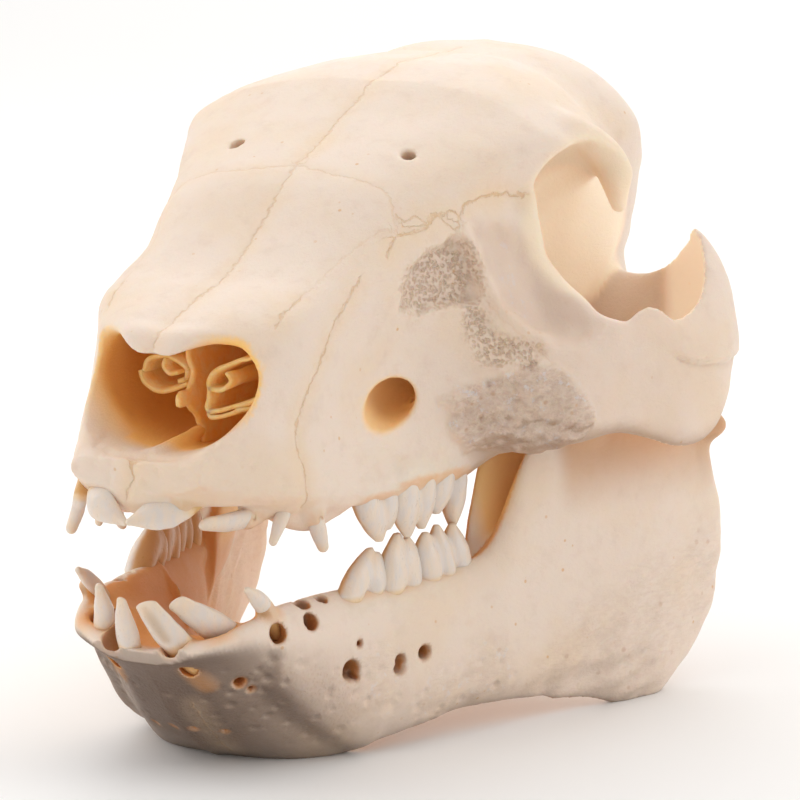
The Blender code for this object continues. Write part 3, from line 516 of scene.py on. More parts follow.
@dataclass(frozen=True)
class Grain:
    """Random but repeatable unevenness in space, with lumps of one size."""

    size: float
    seed: int
    cells: int = 32

    def soft(self, places: np.ndarray) -> np.ndarray:
        """Smooth lumps.

        Args:
            places: rows of across, back and up.

        Returns:
            Numbers from -1 to 1.
        """
        lattice = np.random.default_rng(self.seed).random((self.cells,) * 3) * 2 - 1
        scaled = places / self.size
        base = np.floor(scaled).astype(int)
        share = scaled - base
        share = share * share * (3 - 2 * share)
        total = np.zeros(len(places))
        for corner in np.ndindex(2, 2, 2):
            weight = np.prod(np.where(corner, share, 1 - share), axis=1)
            i, j, k = ((base + corner) % self.cells).T
            total += weight * lattice[i, j, k]
        return total

    def pores(self, places: np.ndarray) -> np.ndarray:
        """How far each place is from the nearest of the scattered pore centres.

        Args:
            places: rows of across, back and up.

        Returns:
            Distances in lump sizes.
        """
        shifts = np.random.default_rng(self.seed).random((self.cells,) * 3 + (3,))
        scaled = places / self.size
        base = np.floor(scaled).astype(int)
        best = np.full(len(places), 9.0)
        for step in np.ndindex(3, 3, 3):
            cell = base + np.array(step) - 1
            i, j, k = (cell % self.cells).T
            gap = np.linalg.norm(cell + shifts[i, j, k] - scaled, axis=1)
            best = np.minimum(best, gap)
        return best


@dataclass
class Clay:
    """A block of distances on a grid, on which forms are pressed together and cut away.

    The block holds the left half, from the middle plane outwards, unless it is told otherwise.
    """

    low: tuple
    high: tuple
    step: float
    start: np.ndarray = field(init=False)
    shape: tuple = field(init=False)
    block: np.ndarray = field(init=False)

    def __post_init__(self) -> None:
        """Lays out the empty grid."""
        self.start = np.round(np.array(self.low) / self.step).astype(int)
        stop = np.round(np.array(self.high) / self.step).astype(int)
        self.shape = tuple(int(n) for n in stop - self.start + 1)
        self.block = np.full(self.shape, FAR, np.float32)

    def skin(self, rings: list, closed_line: bool = False) -> np.ndarray:
        """Distances to a form that is lofted through rings of points.

        Args:
            rings: arrays of points, all with the same count.
            closed_line: true if the last ring meets the first.

        Returns:
            A block of distances.
        """
        middles = [] if closed_line else [rings[0].mean(0)[None], rings[-1].mean(0)[None]]
        points = np.concatenate(rings + middles)
        count, around = len(rings), len(rings[0])
        i, j = np.meshgrid(np.arange(count if closed_line else count - 1), np.arange(around), indexing="ij")
        i, j = i.ravel(), j.ravel()
        far, beside = (i + 1) % count, (j + 1) % around
        quads = np.stack([i * around + j, i * around + beside, far * around + beside, far * around + j], 1)
        turn = np.arange(around)
        ends = np.empty((0, 3), int)
        if not closed_line:
            first, last = count * around, count * around + 1
            head = np.stack([np.full(around, first), (turn + 1) % around, turn], 1)
            tail = (count - 1) * around
            foot = np.stack([np.full(around, last), tail + turn, tail + (turn + 1) % around], 1)
            ends = np.concatenate([head, foot])
        grid = openvdb.FloatGrid.createLevelSetFromPolygons(
            points.astype(np.float32), triangles=ends.astype(np.uint32), quads=quads.astype(np.uint32),
            transform=openvdb.createLinearTransform(voxelSize=self.step), halfWidth=BAND,
        )
        block = np.empty(self.shape, np.float32)
        grid.copyToArray(block, ijk=tuple(int(n) for n in self.start))
        return block

    def around(self, points: object, reach: float) -> tuple:
        """The part of the grid near some points.

        Args:
            points: places that the form covers.
            reach: how far beyond them it may matter.

        Returns:
            The slices into the block, and the places of the grid's points there.
        """
        lowest = np.floor((np.min(points, axis=0) - reach) / self.step).astype(int) - self.start
        highest = np.ceil((np.max(points, axis=0) + reach) / self.step).astype(int) - self.start
        lowest = np.clip(lowest, 0, np.array(self.shape) - 1)
        highest = np.clip(highest, 1, self.shape)
        box = tuple(slice(int(a), int(b)) for a, b in zip(lowest, highest))
        axes = [(np.arange(s.start, s.stop) + o) * self.step for s, o in zip(box, self.start)]
        return box, np.stack(np.meshgrid(*axes, indexing="ij"), -1)

    def press(self, distances: np.ndarray, blend: float, box: tuple = (slice(None),) * 3) -> None:
        """Adds a form, with a fillet where it meets what is there.

        Args:
            distances: the form's distances.
            blend: the width of the fillet.
            box: the part of the grid that the distances are for.
        """
        here = self.block[box]
        overlap = np.maximum(blend - np.abs(here - distances), 0) / blend
        self.block[box] = np.minimum(here, distances) - overlap**2 * blend / 4

    def cut(self, distances: np.ndarray, blend: float, box: tuple = (slice(None),) * 3) -> None:
        """Takes a form away, with a rounded edge.

        Args:
            distances: the form's distances.
            blend: the width of the rounding.
            box: the part of the grid that the distances are for.
        """
        here = self.block[box]
        overlap = np.maximum(blend - np.abs(here + distances), 0) / blend
        self.block[box] = np.maximum(here, -distances) + overlap**2 * blend / 4

    def tube(self, points: object, radii: object, blend: float, away: bool = False) -> None:
        """Presses on, or cuts away, a round tube.

        Args:
            points: its centre line.
            radii: its radius at each point.
            blend: the width of the fillet.
            away: true to cut it away.
        """
        box, places = self.around(points, max(radii) + FAR)
        (self.cut if away else self.press)(tube_distance(places, points, radii), blend, box)

    def egg(self, centre: tuple, radii: tuple, blend: float, away: bool = False, turn: float = 0.0) -> None:
        """Presses on, or cuts away, an egg-shaped form.

        Args:
            centre: its middle.
            radii: its half sizes.
            blend: the width of the fillet.
            away: true to cut it away.
            turn: how far it is turned about the upright axis, in degrees.
        """
        box, places = self.around([centre], max(radii) + FAR)
        (self.cut if away else self.press)(egg_distance(places, centre, radii, turn), blend, box)

    def mesh(self, mirrored: bool = True) -> tuple:
        """Turns the block into a skin of quads and triangles.

        Args:
            mirrored: true if the block is the left half of a whole.

        Returns:
            The points, then the faces as triangles that point outwards.
        """
        block, start = np.clip(self.block, -FAR, FAR), self.start.copy()
        if mirrored:
            block = np.concatenate([block[:0:-1], block])
            start[0] -= self.shape[0] - 1
        grid = openvdb.FloatGrid(FAR)
        grid.transform = openvdb.createLinearTransform(voxelSize=self.step)
        grid.copyFromArray(np.ascontiguousarray(block), ijk=tuple(int(n) for n in start), tolerance=0.001)
        points, triangles, quads = grid.convertToPolygons(0.0, 0.0)
        faces = np.concatenate([triangles.reshape(-1, 3), quads[:, (0, 1, 2)], quads[:, (0, 2, 3)]])
        faces = faces.astype(int)
        a, b, c = (points[faces[:, n]] for n in range(3))
        if np.einsum("ij,ij->i", a, np.cross(b, c)).sum() < 0:
            faces = faces[:, ::-1]
        return points.astype(float), faces


def steady(height: np.ndarray) -> np.ndarray:
    """How a wall's lean grows with height when it is nearly an even slope."""
    return height**0.6


def cupped(height: np.ndarray) -> np.ndarray:
    """How a wall's lean grows when it bulges the other way below and turns over at its top."""
    return height**3.5 - 2.4 * height * (1 - height)


def half_rings(sections: tuple, around: int = 8, along: int = 8) -> list:
    """Whole rings from a table of half outlines.

    Args:
        sections: rows of distance back and half outline.
        around: steps to each span of an outline.
        along: steps to each span between outlines.

    Returns:
        Arrays of points, one for each ring.
    """
    table = np.array([[(x, y, z) for x, z in outline] for y, *outline in sections], float)
    rings = []
    for half in catmull_rom(table.reshape(len(table), -1), along).reshape(-1, table.shape[1], 3):
        left = catmull_rom(half, around)
        left[:, 0] = np.maximum(left[:, 0], 0)
        rings.append(np.concatenate([left, left[-2:0:-1] * (-1, 1, 1)]))
    return rings


def wall_rings(stations: tuple, slope: object = steady, around: int = 40, along: int = 8) -> list:
    """Rings for an upright wall of oval section that follows a line across the table.

    Args:
        stations: rows of the wall's table.
        slope: how its lean grows with height.
        around: points to each ring.
        along: steps to each span.

    Returns:
        Arrays of points, one for each ring.
    """
    line = catmull_rom(stations, along)
    ahead = np.gradient(line[:, :2], axis=0)
    ahead /= np.linalg.norm(ahead, axis=1)[:, None]
    angle = np.arange(around) * 2 * math.pi / around
    up = np.sign(np.sin(angle)) * np.abs(np.sin(angle)) ** 0.8
    height = (up + 1) / 2
    rings = []
    for (x, y, low, high, thick_low, thick_high, lean), (tx, ty) in zip(line, ahead):
        out = np.cos(angle) * (thick_low + (thick_high - thick_low) * height) / 2 + lean * slope(height)
        rings.append(np.column_stack([x + ty * out, y - tx * out, low + height * (high - low)]))
    return rings


def corner_normals(points: np.ndarray, faces: np.ndarray) -> np.ndarray:
    """The outward direction at each point of a mesh.

    Args:
        points: rows of across, back and up.
        faces: triangles.

    Returns:
        Rows of unit directions.
    """
    a, b, c = (points[faces[:, n]] for n in range(3))
    flat = np.cross(b - a, c - a)
    total = np.zeros_like(points)
    for axis in range(3):
        for n in range(3):
            total[:, axis] += np.bincount(faces[:, n], flat[:, axis], len(points))
    return total / np.maximum(np.linalg.norm(total, axis=1), 1e-12)[:, None]


def to_mesh(name: str, points: np.ndarray, faces: np.ndarray) -> bpy.types.Mesh:
    """Writes points in the skull's millimetres as a mesh in the frame's metres.

    Args:
        name: the mesh's name.
        points: rows of across, back and up.
        faces: triangles, or rows of four.

    Returns:
        The mesh.
    """
    mesh = bpy.data.meshes.new(name)
    count, corners = faces.shape
    mesh.vertices.add(len(points))
    mesh.loops.add(count * corners)
    mesh.polygons.add(count)
    mesh.vertices.foreach_set("co", ((points - (0, FRONT_TO_ORIGIN, 0)) * MM).astype(np.float32).ravel())
    mesh.loops.foreach_set("vertex_index", faces.ravel().astype(np.int32))
    mesh.polygons.foreach_set("loop_start", (np.arange(count) * corners).astype(np.int32))
    mesh.update(calc_edges=True)
    mesh.validate()
    return mesh


def from_mesh(mesh: bpy.types.Mesh) -> np.ndarray:
    """Reads a mesh's points back into the skull's millimetres."""
    flat = np.empty(len(mesh.vertices) * 3, np.float32)
    mesh.vertices.foreach_get("co", flat)
    return flat.reshape(-1, 3).astype(float) / MM + (0, FRONT_TO_ORIGIN, 0)


def link(name: str, mesh: bpy.types.Mesh) -> bpy.types.Object:
    """Puts a mesh into the scene as an object of this name."""
    made = bpy.data.objects.new(name, mesh)
    bpy.context.scene.collection.objects.link(made)
    return made


def applied(made: bpy.types.Object) -> bpy.types.Object:
    """Turns an object's modifiers into plain mesh.

    Args:
        made: the object.

    Returns:
        The same object, with its mesh replaced and no modifiers.
    """
    bpy.context.view_layer.update()
    graph = bpy.context.evaluated_depsgraph_get()
    mesh = bpy.data.meshes.new_from_object(made.evaluated_get(graph))
    made.modifiers.clear()
    made.data = mesh
    mesh.name = made.name
    return made


def thinned(made: bpy.types.Object, triangles: int) -> bpy.types.Object:
    """Collapses a mesh to about a number of triangles, most where it is plain."""
    count = len(made.data.polygons)
    if count > triangles:
        decimate = made.modifiers.new("Thin", "DECIMATE")
        decimate.ratio = triangles / count
        applied(made)
    return made


def note(mesh: bpy.types.Mesh, name: str, values: np.ndarray) -> None:
    """Stores one number for each point of a mesh, for its material to read."""
    attribute = mesh.attributes.new(name, "FLOAT", "POINT")
    attribute.data.foreach_set("value", np.ascontiguousarray(values, np.float32))


class Nodes:
    """A short way to lay out the nodes of one material."""

    def __init__(self, name: str) -> None:
        """Starts a material that has only its shader and its output.

        Args:
            name: the material's name.
        """
        self.material = bpy.data.materials.new(name)
        self.material.use_nodes = True
        self.tree = self.material.node_tree
        self.shader = self.tree.nodes["Principled BSDF"]
        coordinates = self.tree.nodes.new("ShaderNodeTexCoord")
        mapping = self.tree.nodes.new("ShaderNodeMapping")
        mapping.inputs["Scale"].default_value = (1 / MM,) * 3
        self.tree.links.new(coordinates.outputs["Object"], mapping.inputs["Vector"])
        self.place = mapping.outputs["Vector"]

    def put(self, socket: object, value: object) -> None:
        """Links a value to a socket, or sets it there if it is a plain number or colour."""
        if isinstance(value, bpy.types.NodeSocket):
            self.tree.links.new(value, socket)
        else:
            socket.default_value = value

    def math(self, operation: str, *values: object, clamp: bool = False) -> object:
        """One step of arithmetic.

        Args:
            operation: the Math node's operation.
            values: its inputs.
            clamp: true to keep the result within 0 and 1.

        Returns:
            The result's socket.
        """
        node = self.tree.nodes.new("ShaderNodeMath")
        node.operation = operation
        node.use_clamp = clamp
        for socket, value in zip(node.inputs, values):
            self.put(socket, value)
        return node.outputs[0]

    def stretch(self, scale: tuple, turn: tuple = (0.0, 0.0, 0.0)) -> object:
        """The place in space, stretched and turned, for a pattern that has a grain."""
        node = self.tree.nodes.new("ShaderNodeMapping")
        self.put(node.inputs["Vector"], self.place)
        node.inputs["Scale"].default_value = scale
        node.inputs["Rotation"].default_value = [math.radians(angle) for angle in turn]
        return node.outputs["Vector"]

    def noise(self, size: float, detail: float = 2.0, rough: float = 0.5, place: object = None) -> object:
        """Soft noise from 0 to 1 with lumps of a size in millimetres."""
        node = self.tree.nodes.new("ShaderNodeTexNoise")
        self.put(node.inputs["Vector"], place or self.place)
        node.inputs["Scale"].default_value = 1 / size
        node.inputs["Detail"].default_value = detail
        node.inputs["Roughness"].default_value = rough
        return node.outputs["Fac"]

    def cells(self, size: float, place: object = None) -> object:
        """Distance to the nearest of scattered points that lie about a size apart, in sizes."""
        node = self.tree.nodes.new("ShaderNodeTexVoronoi")
        self.put(node.inputs["Vector"], place or self.place)
        node.inputs["Scale"].default_value = 1 / size
        return node.outputs["Distance"]

    def ramp(self, value: object, low: float, high: float, start: float = 0.0, stop: float = 1.0) -> object:
        """Rises smoothly from start to stop as the value goes from low to high."""
        node = self.tree.nodes.new("ShaderNodeMapRange")
        node.interpolation_type = "SMOOTHSTEP"
        self.put(node.inputs["Value"], value)
        for name, number in (("From Min", low), ("From Max", high), ("To Min", start), ("To Max", stop)):
            node.inputs[name].default_value = number
        return node.outputs["Result"]

    def mix(self, share: object, first: object, second: object, way: str = "MIX") -> object:
        """Mixes two colours by a share."""
        node = self.tree.nodes.new("ShaderNodeMix")
        node.data_type = "RGBA"
        node.blend_type = way
        self.put(node.inputs[0], share)
        self.put(node.inputs[6], first)
        self.put(node.inputs[7], second)
        return node.outputs[2]

    def read(self, name: str) -> object:
        """A number stored on the mesh's points."""
        node = self.tree.nodes.new("ShaderNodeAttribute")
        node.attribute_name = name
        return node.outputs["Fac"]

    def bump(self, height: object, depth: float, under: object = None) -> object:
        """A bump of a depth in millimetres, on top of another if that is given."""
        node = self.tree.nodes.new("ShaderNodeBump")
        node.inputs["Strength"].default_value = 1.0
        node.inputs["Distance"].default_value = depth * MM
        self.put(node.inputs["Height"], height)
        if under is not None:
            self.put(node.inputs["Normal"], under)
        return node.outputs["Normal"]


Colour = tuple[float, float, float, float]


@dataclass(frozen=True)
class BoneFinish:
    """Cleaned dry bone: cream, yellower in its seams, with painted shade underneath and in hollows, and a
    painted orange glow where it is thin or deep.
    """

    name: str
    pale: Colour = (0.85, 0.705, 0.59, 1.0)
    warm: Colour = (0.84, 0.66, 0.49, 1.0)
    rosy: Colour = (0.70, 0.52, 0.41, 1.0)
    # painted shade for faces that look down and for the ramus under the arch
    underside_shade_colour: Colour = (0.17, 0.115, 0.085, 1.0)
    chalk: Colour = (0.80, 0.76, 0.77, 1.0)
    # amber: painted light in the orbit's hollow, on the arch's inner face, the temple and the jaw's pocket,
    # and the lip's amber tone
    amber: Colour = (0.96, 0.80, 0.60, 1.0)
    # painted warm shade for hollows, the jaw's inner faces and under the arch; also the tint round the
    # teeth's necks
    painted_ochre_shade: Colour = (0.82, 0.37, 0.11, 1.0)
    seam: Colour = (0.72, 0.43, 0.19, 1.0)
    stain: Colour = (0.86, 0.64, 0.42, 1.0)
    # deep: painted orange glow inside the nose chamber, the canals and the jaw's pocket
    deep: Colour = (1.0, 0.62, 0.22, 1.0)
    pore: Colour = (0.74, 0.47, 0.27, 1.0)
    pit: Colour = (0.50, 0.23, 0.09, 1.0)
    roughness: float = 0.55
    glow: float = 0.22
    through: Colour = (1.0, 0.34, 0.04, 1.0)  # painted glow that stands in for light coming through thin bone
    # how strongly the deep hollows glow: painted light
    painted_cavity_glow: float = 0.03
    # how strongly the orbit's hollow, the arch's inner face and the temple glow: painted light
    lit: float = 0.13

    def material(self) -> bpy.types.Material:
        """Builds the node material.

        Returns:
            The material.
        """
        n = Nodes(self.name)
        broad, middle, fine = n.noise(14.0, 3.0), n.noise(3.2, 4.0, 0.6), n.noise(0.55, 3.0, 0.65)
        colour = n.mix(n.ramp(broad, 0.42, 0.72, 0.0, 0.7), self.pale, self.warm)
        colour = n.mix(n.math("MULTIPLY", n.ramp(middle, 0.48, 0.78), 0.3), colour, self.rosy)
        colour = n.mix(n.ramp(fine, 0.6, 0.8, 0.0, 0.25), colour, self.rosy)
        rough, porous = n.read("rough"), n.read("porous")
        streaks = n.noise(0.8, 4.0, 0.7, n.stretch((1.0, 0.35, 1.2), (26, 0, 0)))
        colour = n.mix(n.math("MULTIPLY", rough, n.ramp(streaks, 0.42, 0.62, 0.1, 0.85)), colour, self.rosy)
        red = n.math("MULTIPLY", n.ramp(n.cells(2.4), 0.24, 0.1), n.ramp(n.noise(5.0, 2.0), 0.45, 0.6))
        colour = n.mix(n.math("MULTIPLY", n.math("MULTIPLY", red, rough), 0.8), colour, self.pit)
        flecks = n.math("MULTIPLY", n.ramp(n.noise(1.5, 5.0, 0.7), 0.57, 0.64), n.read("chalky"))
        colour = n.mix(n.math("MULTIPLY", flecks, 0.8), colour, self.chalk)
        threads = n.math("MULTIPLY", n.noise(0.5, 4.0, 0.75), 0.6)
        web = n.math("ADD", n.math("MULTIPLY", n.cells(0.6), 0.5), threads)
        colour = n.mix(n.math("MULTIPLY", n.ramp(web, 0.68, 0.44, 0.04, 0.45), porous), colour, self.pore)
        specks = n.math("MULTIPLY", n.ramp(n.cells(2.9), 0.12, 0.07), n.ramp(n.noise(9.0), 0.5, 0.62))
        colour = n.mix(n.math("MULTIPLY", specks, 0.7), colour, self.seam)
        colour = n.mix(n.math("MULTIPLY", n.read("shadow"), 0.7), colour, self.rosy)
        # painted shade on downward faces
        colour = n.mix(n.read("painted_underside_shade"), colour, self.underside_shade_colour)
        # painted light: the orbit's hollow, the arch's inner face, the temple and the jaw's pocket turn
        # amber; the lip takes an amber tone
        colour = n.mix(n.read("painted_glow_and_amber_tone"), colour, self.amber)
        # painted warm shade in hollows and under the arch
        colour = n.mix(n.read("painted_ochre_shade"), colour, self.painted_ochre_shade)
        # painted glow: the deep hollows turn orange
        colour = n.mix(n.read("depth"), colour, self.deep)
        wander = n.math("MULTIPLY", n.math("SUBTRACT", n.noise(1.5, 3.0, 0.6), 0.5), 1.7)
        gap = n.math("ABSOLUTE", n.math("ADD", n.read("seam_side"), wander))
        near = n.ramp(n.read("seam_gap"), 1.5, 0.6)
        line = n.math("MULTIPLY", n.math("MULTIPLY", n.ramp(gap, 0.3, 0.04), near), n.read("seam_force"))
        wide = n.ramp(n.read("seam_gap"), 3.6, 0.4)
        patchy = n.math("MULTIPLY", wide, n.ramp(middle, 0.3, 0.6, 0.5, 1.0))
        stain = n.math("MULTIPLY", patchy, n.read("seam_force"))
        broken = n.ramp(n.noise(1.1, 2.0), 0.3, 0.6, 0.3, 1.0)
        colour = n.mix(n.math("MULTIPLY", stain, 0.5), colour, self.stain)
        thread = n.math("MULTIPLY", n.math("MULTIPLY", line, broken), 0.55, clamp=True)
        colour = n.mix(thread, colour, self.seam)
        # round the teeth's necks: partly a real orange stain, partly painted shade where bone meets tooth
        colour = n.mix(n.math("MULTIPLY", n.read("socket"), 0.5), colour, self.painted_ochre_shade)
        # painted shade in the mouths of the jaw's foramina
        colour = n.mix(n.read("painted_foramen_shade"), colour, self.pit)
        n.put(n.shader.inputs["Base Color"], colour)
        grain = n.noise(0.42, 4.0, 0.7, n.stretch((1.0, 0.45, 1.0), (0, 0, 20)))
        weave = n.math("ADD", n.math("MULTIPLY", grain, 0.7), n.math("MULTIPLY", middle, 0.3))
        normal = n.bump(weave, 0.16)
        normal = n.bump(n.math("MULTIPLY", n.ramp(web, 0.62, 0.35), porous), -0.2, normal)
        normal = n.bump(n.math("MULTIPLY", streaks, rough), 0.6, normal)
        normal = n.bump(line, -0.12, normal)
        n.put(n.shader.inputs["Normal"], normal)
        dull = n.ramp(n.math("ADD", grain, rough), 0.3, 1.3, self.roughness - 0.08, 0.85)
        n.put(n.shader.inputs["Roughness"], dull)
        # painted light: these places glow though no lamp is there
        lit = n.math("MULTIPLY", n.read("lit"), self.lit)
        painted_cavity_glow = n.math("MULTIPLY", n.read("depth"), self.painted_cavity_glow)
        n.put(n.shader.inputs["Emission Strength"], n.math("ADD", painted_cavity_glow, lit))
        n.put(n.shader.inputs["Emission Color"], n.mix(n.read("lit"), self.through, self.amber))
        n.shader.inputs["Subsurface Weight"].default_value = self.glow
        n.shader.inputs["Subsurface Radius"].default_value = (1.0, 0.42, 0.16)
        n.shader.inputs["Subsurface Scale"].default_value = 2.2 * MM
        n.shader.inputs["Specular IOR Level"].default_value = 0.32
        return n.material


@dataclass(frozen=True)
class ToothFinish:
    """Milk tooth enamel: bluish white, yellow to orange towards the gum, with painted warm shade on the cheek
    teeth's inner faces.
    """

    name: str
    crown: Colour = (0.81, 0.68, 0.56, 1.0)
    blue: Colour = (0.75, 0.67, 0.61, 1.0)
    neck: Colour = (0.86, 0.60, 0.32, 1.0)
    # amber: painted warm shade for the cheek teeth's inner faces
    amber: Colour = (0.72, 0.40, 0.14, 1.0)
    root: Colour = (0.70, 0.42, 0.17, 1.0)
    stain: Colour = (0.50, 0.32, 0.16, 1.0)
    roughness: float = 0.3

    def material(self) -> bpy.types.Material:
        """Builds the node material.

        Returns:
            The material.
        """
        n = Nodes(self.name)
        streak = n.noise(1.4, 3.0, 0.6, n.stretch((1.0, 1.0, 0.35)))
        colour = n.mix(n.ramp(streak, 0.35, 0.65), self.crown, self.blue)
        wander = n.math("MULTIPLY", n.math("SUBTRACT", n.noise(1.2, 3.0), 0.5), 0.22)
        down = n.math("ADD", n.read("rootward"), wander)
        colour = n.mix(n.ramp(down, 0.25, 0.62, 0.0, 0.75), colour, self.neck)
        colour = n.mix(n.ramp(down, 0.6, 0.85), colour, self.root)
        colour = n.mix(n.math("MULTIPLY", n.ramp(n.read("tipward"), 0.75, 1.0), 0.25), colour, self.neck)
        colour = n.mix(n.read("stained"), colour, self.stain)
        # painted warm shade on the faces that look into the mouth
        colour = n.mix(n.math("MULTIPLY", n.read("painted_inner_warm_shade"), 0.85), colour, self.amber)
        n.put(n.shader.inputs["Base Color"], colour)
        ripples = n.noise(0.5, 3.0, 0.6, n.stretch((1.0, 1.0, 0.5)))
        n.put(n.shader.inputs["Normal"], n.bump(ripples, 0.05))
        gloss = n.ramp(ripples, 0.2, 0.8, self.roughness - 0.06, self.roughness + 0.14)
        n.put(n.shader.inputs["Roughness"], gloss)
        n.shader.inputs["Subsurface Weight"].default_value = 0.3
        n.shader.inputs["Subsurface Radius"].default_value = (1.0, 0.7, 0.45)
        n.shader.inputs["Subsurface Scale"].default_value = 1.4 * MM
        n.shader.inputs["Specular IOR Level"].default_value = 0.5
        return n.material


STAINED_TOOTH = "lower_incisor_1"
STAIN_GROOVE = (((2.4, -1.8, 27.4), (3.4, -0.4, 25.6), (4.6, 1.6, 22.6)), (0.5, 0.7, 0.5))
BEDS = {"lower_incisor_1": 0.7, "lower_incisor_2": 0.7}  # how far the bone in front of a tooth is opened


@dataclass
class PegTooth:
    """A single-rooted milk tooth along a bent line, flat on its face and rounded behind."""

    name: str
    jaw: Jaw
    face: tuple
    stations: tuple
    around: int = 40
    along: int = 14
    round_end: int = 7
    collar: float = 0.3
    bore: float = -0.1

    @property
    def bed(self) -> float:
        """How far the bone in front of the tooth is opened, which only the big front teeth have."""
        return BEDS.get(self.name, 0.0)

    def bed_tube(self) -> tuple:
        """The space in front of the tooth's neck as a tube's points and radii."""
        rows = catmull_rom(self.stations, 3)[2:]
        way = np.array(self.face) / np.linalg.norm(self.face)
        return rows[:, :3] + way * self.bed, (rows[:, 3] + rows[:, 4]) / 4 + 0.1

    def root_tube(self) -> tuple:
        """The tooth's buried end as a tube's points and radii, for its socket."""
        rows = catmull_rom(self.stations, 3)
        rows = rows[: len(rows) // 2]
        return rows[:, :3], (rows[:, 3] + rows[:, 4]) / 4

    def rings(self, stations: tuple) -> tuple:
        """Lofts the tooth.

        Args:
            stations: its line from root to tip.

        Returns:
            The rings of points, and how far towards the tip each lies, from 0 to 1.
        """
        line = catmull_rom(stations, self.along)
        ahead = np.gradient(line[:, :3], axis=0)
        ahead /= np.linalg.norm(ahead, axis=1)[:, None]
        share = np.linspace(0, 1, len(line))
        angle = np.arange(self.around) * 2 * math.pi / self.around
        bulge = Grain(1.6, 5)
        rings, shares = [], []
        rows = [(row, way, at, 1.0) for row, way, at in zip(line, ahead, share)]
        last, way = line[-1], ahead[-1]
        for turn in np.linspace(0, math.pi / 2, self.round_end + 1)[1:-1]:
            beyond = np.array([*(last[:3] + way * math.sin(turn) * last[4] * 0.6), *last[3:]])
            rows.append((beyond, way, 1.0, math.cos(turn)))
        for (x, y, z, width, depth), way, at, shrink in rows:
            wide = np.cross(way, self.face)
            wide /= np.linalg.norm(wide)
            deep = np.cross(wide, way)
            crown = math.sin(min(at / 0.92, 1.0) * math.pi) * 0.06
            out = np.sign(np.cos(angle)) * np.abs(np.cos(angle)) ** 0.9 * width / 2 * (1 + crown) * shrink
            fuller = np.where(np.sin(angle) > 0, 1 - 0.12 * np.cos(angle * 2), 0.9)
            up = np.sin(angle) * depth / 2 * fuller * shrink
            ring = np.array([x, y, z]) + out[:, None] * wide + up[:, None] * deep
            ring += (bulge.soft(ring) * 0.07 * at)[:, None] * (out[:, None] * wide + up[:, None] * deep)
            rings.append(ring)
            shares.append(at)
        return rings, shares

    def build(self, side: Side, finish: bpy.types.Material) -> bpy.types.Object:
        """Makes the tooth on one side.

        Args:
            side: left or right.
            finish: its material.

        Returns:
            The finished piece.
        """
        stations = RIGHT_PEGS.get(self.name, self.stations) if side is Side.RIGHT else self.stations
        rings, shares = self.rings(stations)
        count = len(rings)
        points = np.concatenate([*rings, rings[0].mean(0)[None], rings[-1].mean(0)[None]])
        i, j = np.meshgrid(np.arange(count - 1), np.arange(self.around), indexing="ij")
        i, j = i.ravel(), j.ravel()
        beside = (j + 1) % self.around
        a, b = i * self.around + j, i * self.around + beside
        c, d = b + self.around, a + self.around
        turn = np.arange(self.around)
        tail = (count - 1) * self.around
        faces = np.concatenate([
            np.stack([a, b, c], 1), np.stack([a, c, d], 1),
            np.stack([np.full(self.around, len(points) - 2), (turn + 1) % self.around, turn], 1),
            np.stack([np.full(self.around, len(points) - 1), tail + turn,
                      tail + (turn + 1) % self.around], 1),
        ])
        at = np.concatenate([np.repeat(shares, self.around), [0.0, 1.0]])
        return finished_tooth(self, points, faces, at, side, finish)


def finished_tooth(tooth: object, points: np.ndarray, faces: np.ndarray, at: np.ndarray, side: Side,
                   finish: bpy.types.Material) -> bpy.types.Object:
    """Puts a tooth's mesh in place on one side, notes its tints, and hands it to its node.

    Args:
        tooth: the tooth that the mesh is of.
        points: rows of across, back and up on the left.
        faces: triangles.
        at: how far towards the tip each point is.
        side: left or right.
        finish: its material.

    Returns:
        The finished piece.
    """
    a, b, c = (points[faces[:, n]] - points.mean(0) for n in range(3))
    outward = np.einsum("ij,ij->i", a, np.cross(b, c)).sum() * side.value > 0
    node = f"{tooth.name}_{side.word}"
    mesh = to_mesh(node + "_enamel", points * (side.value, 1, 1), faces if outward else faces[:, ::-1])
    mesh.shade_smooth()
    note(mesh, "rootward", ease(0.62, 0.3, at))
    note(mesh, "tipward", at)
    stain = np.zeros(len(points))
    if tooth.name == STAINED_TOOTH and side is Side.LEFT:
        groove = tube_distance(points, *STAIN_GROOVE)
        stain = ease(1.0, -0.4, groove) * 0.6
    note(mesh, "stained", stain)
    # painted warm shade on the faces of cheek teeth that look into the mouth
    painted_inner_warm_shade = np.zeros(len(points))
    if isinstance(tooth, CheekTooth):
        normals = corner_normals(points, faces if outward == (side is Side.LEFT) else faces[:, ::-1])
        painted_inner_warm_shade = ease(0.2, -0.5, normals[:, 0])
    note(mesh, "painted_inner_warm_shade", painted_inner_warm_shade)
    made = link(node + "_enamel", mesh)
    mesh.materials.append(finish)
    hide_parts(node)
    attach(made, BODY)
    return made


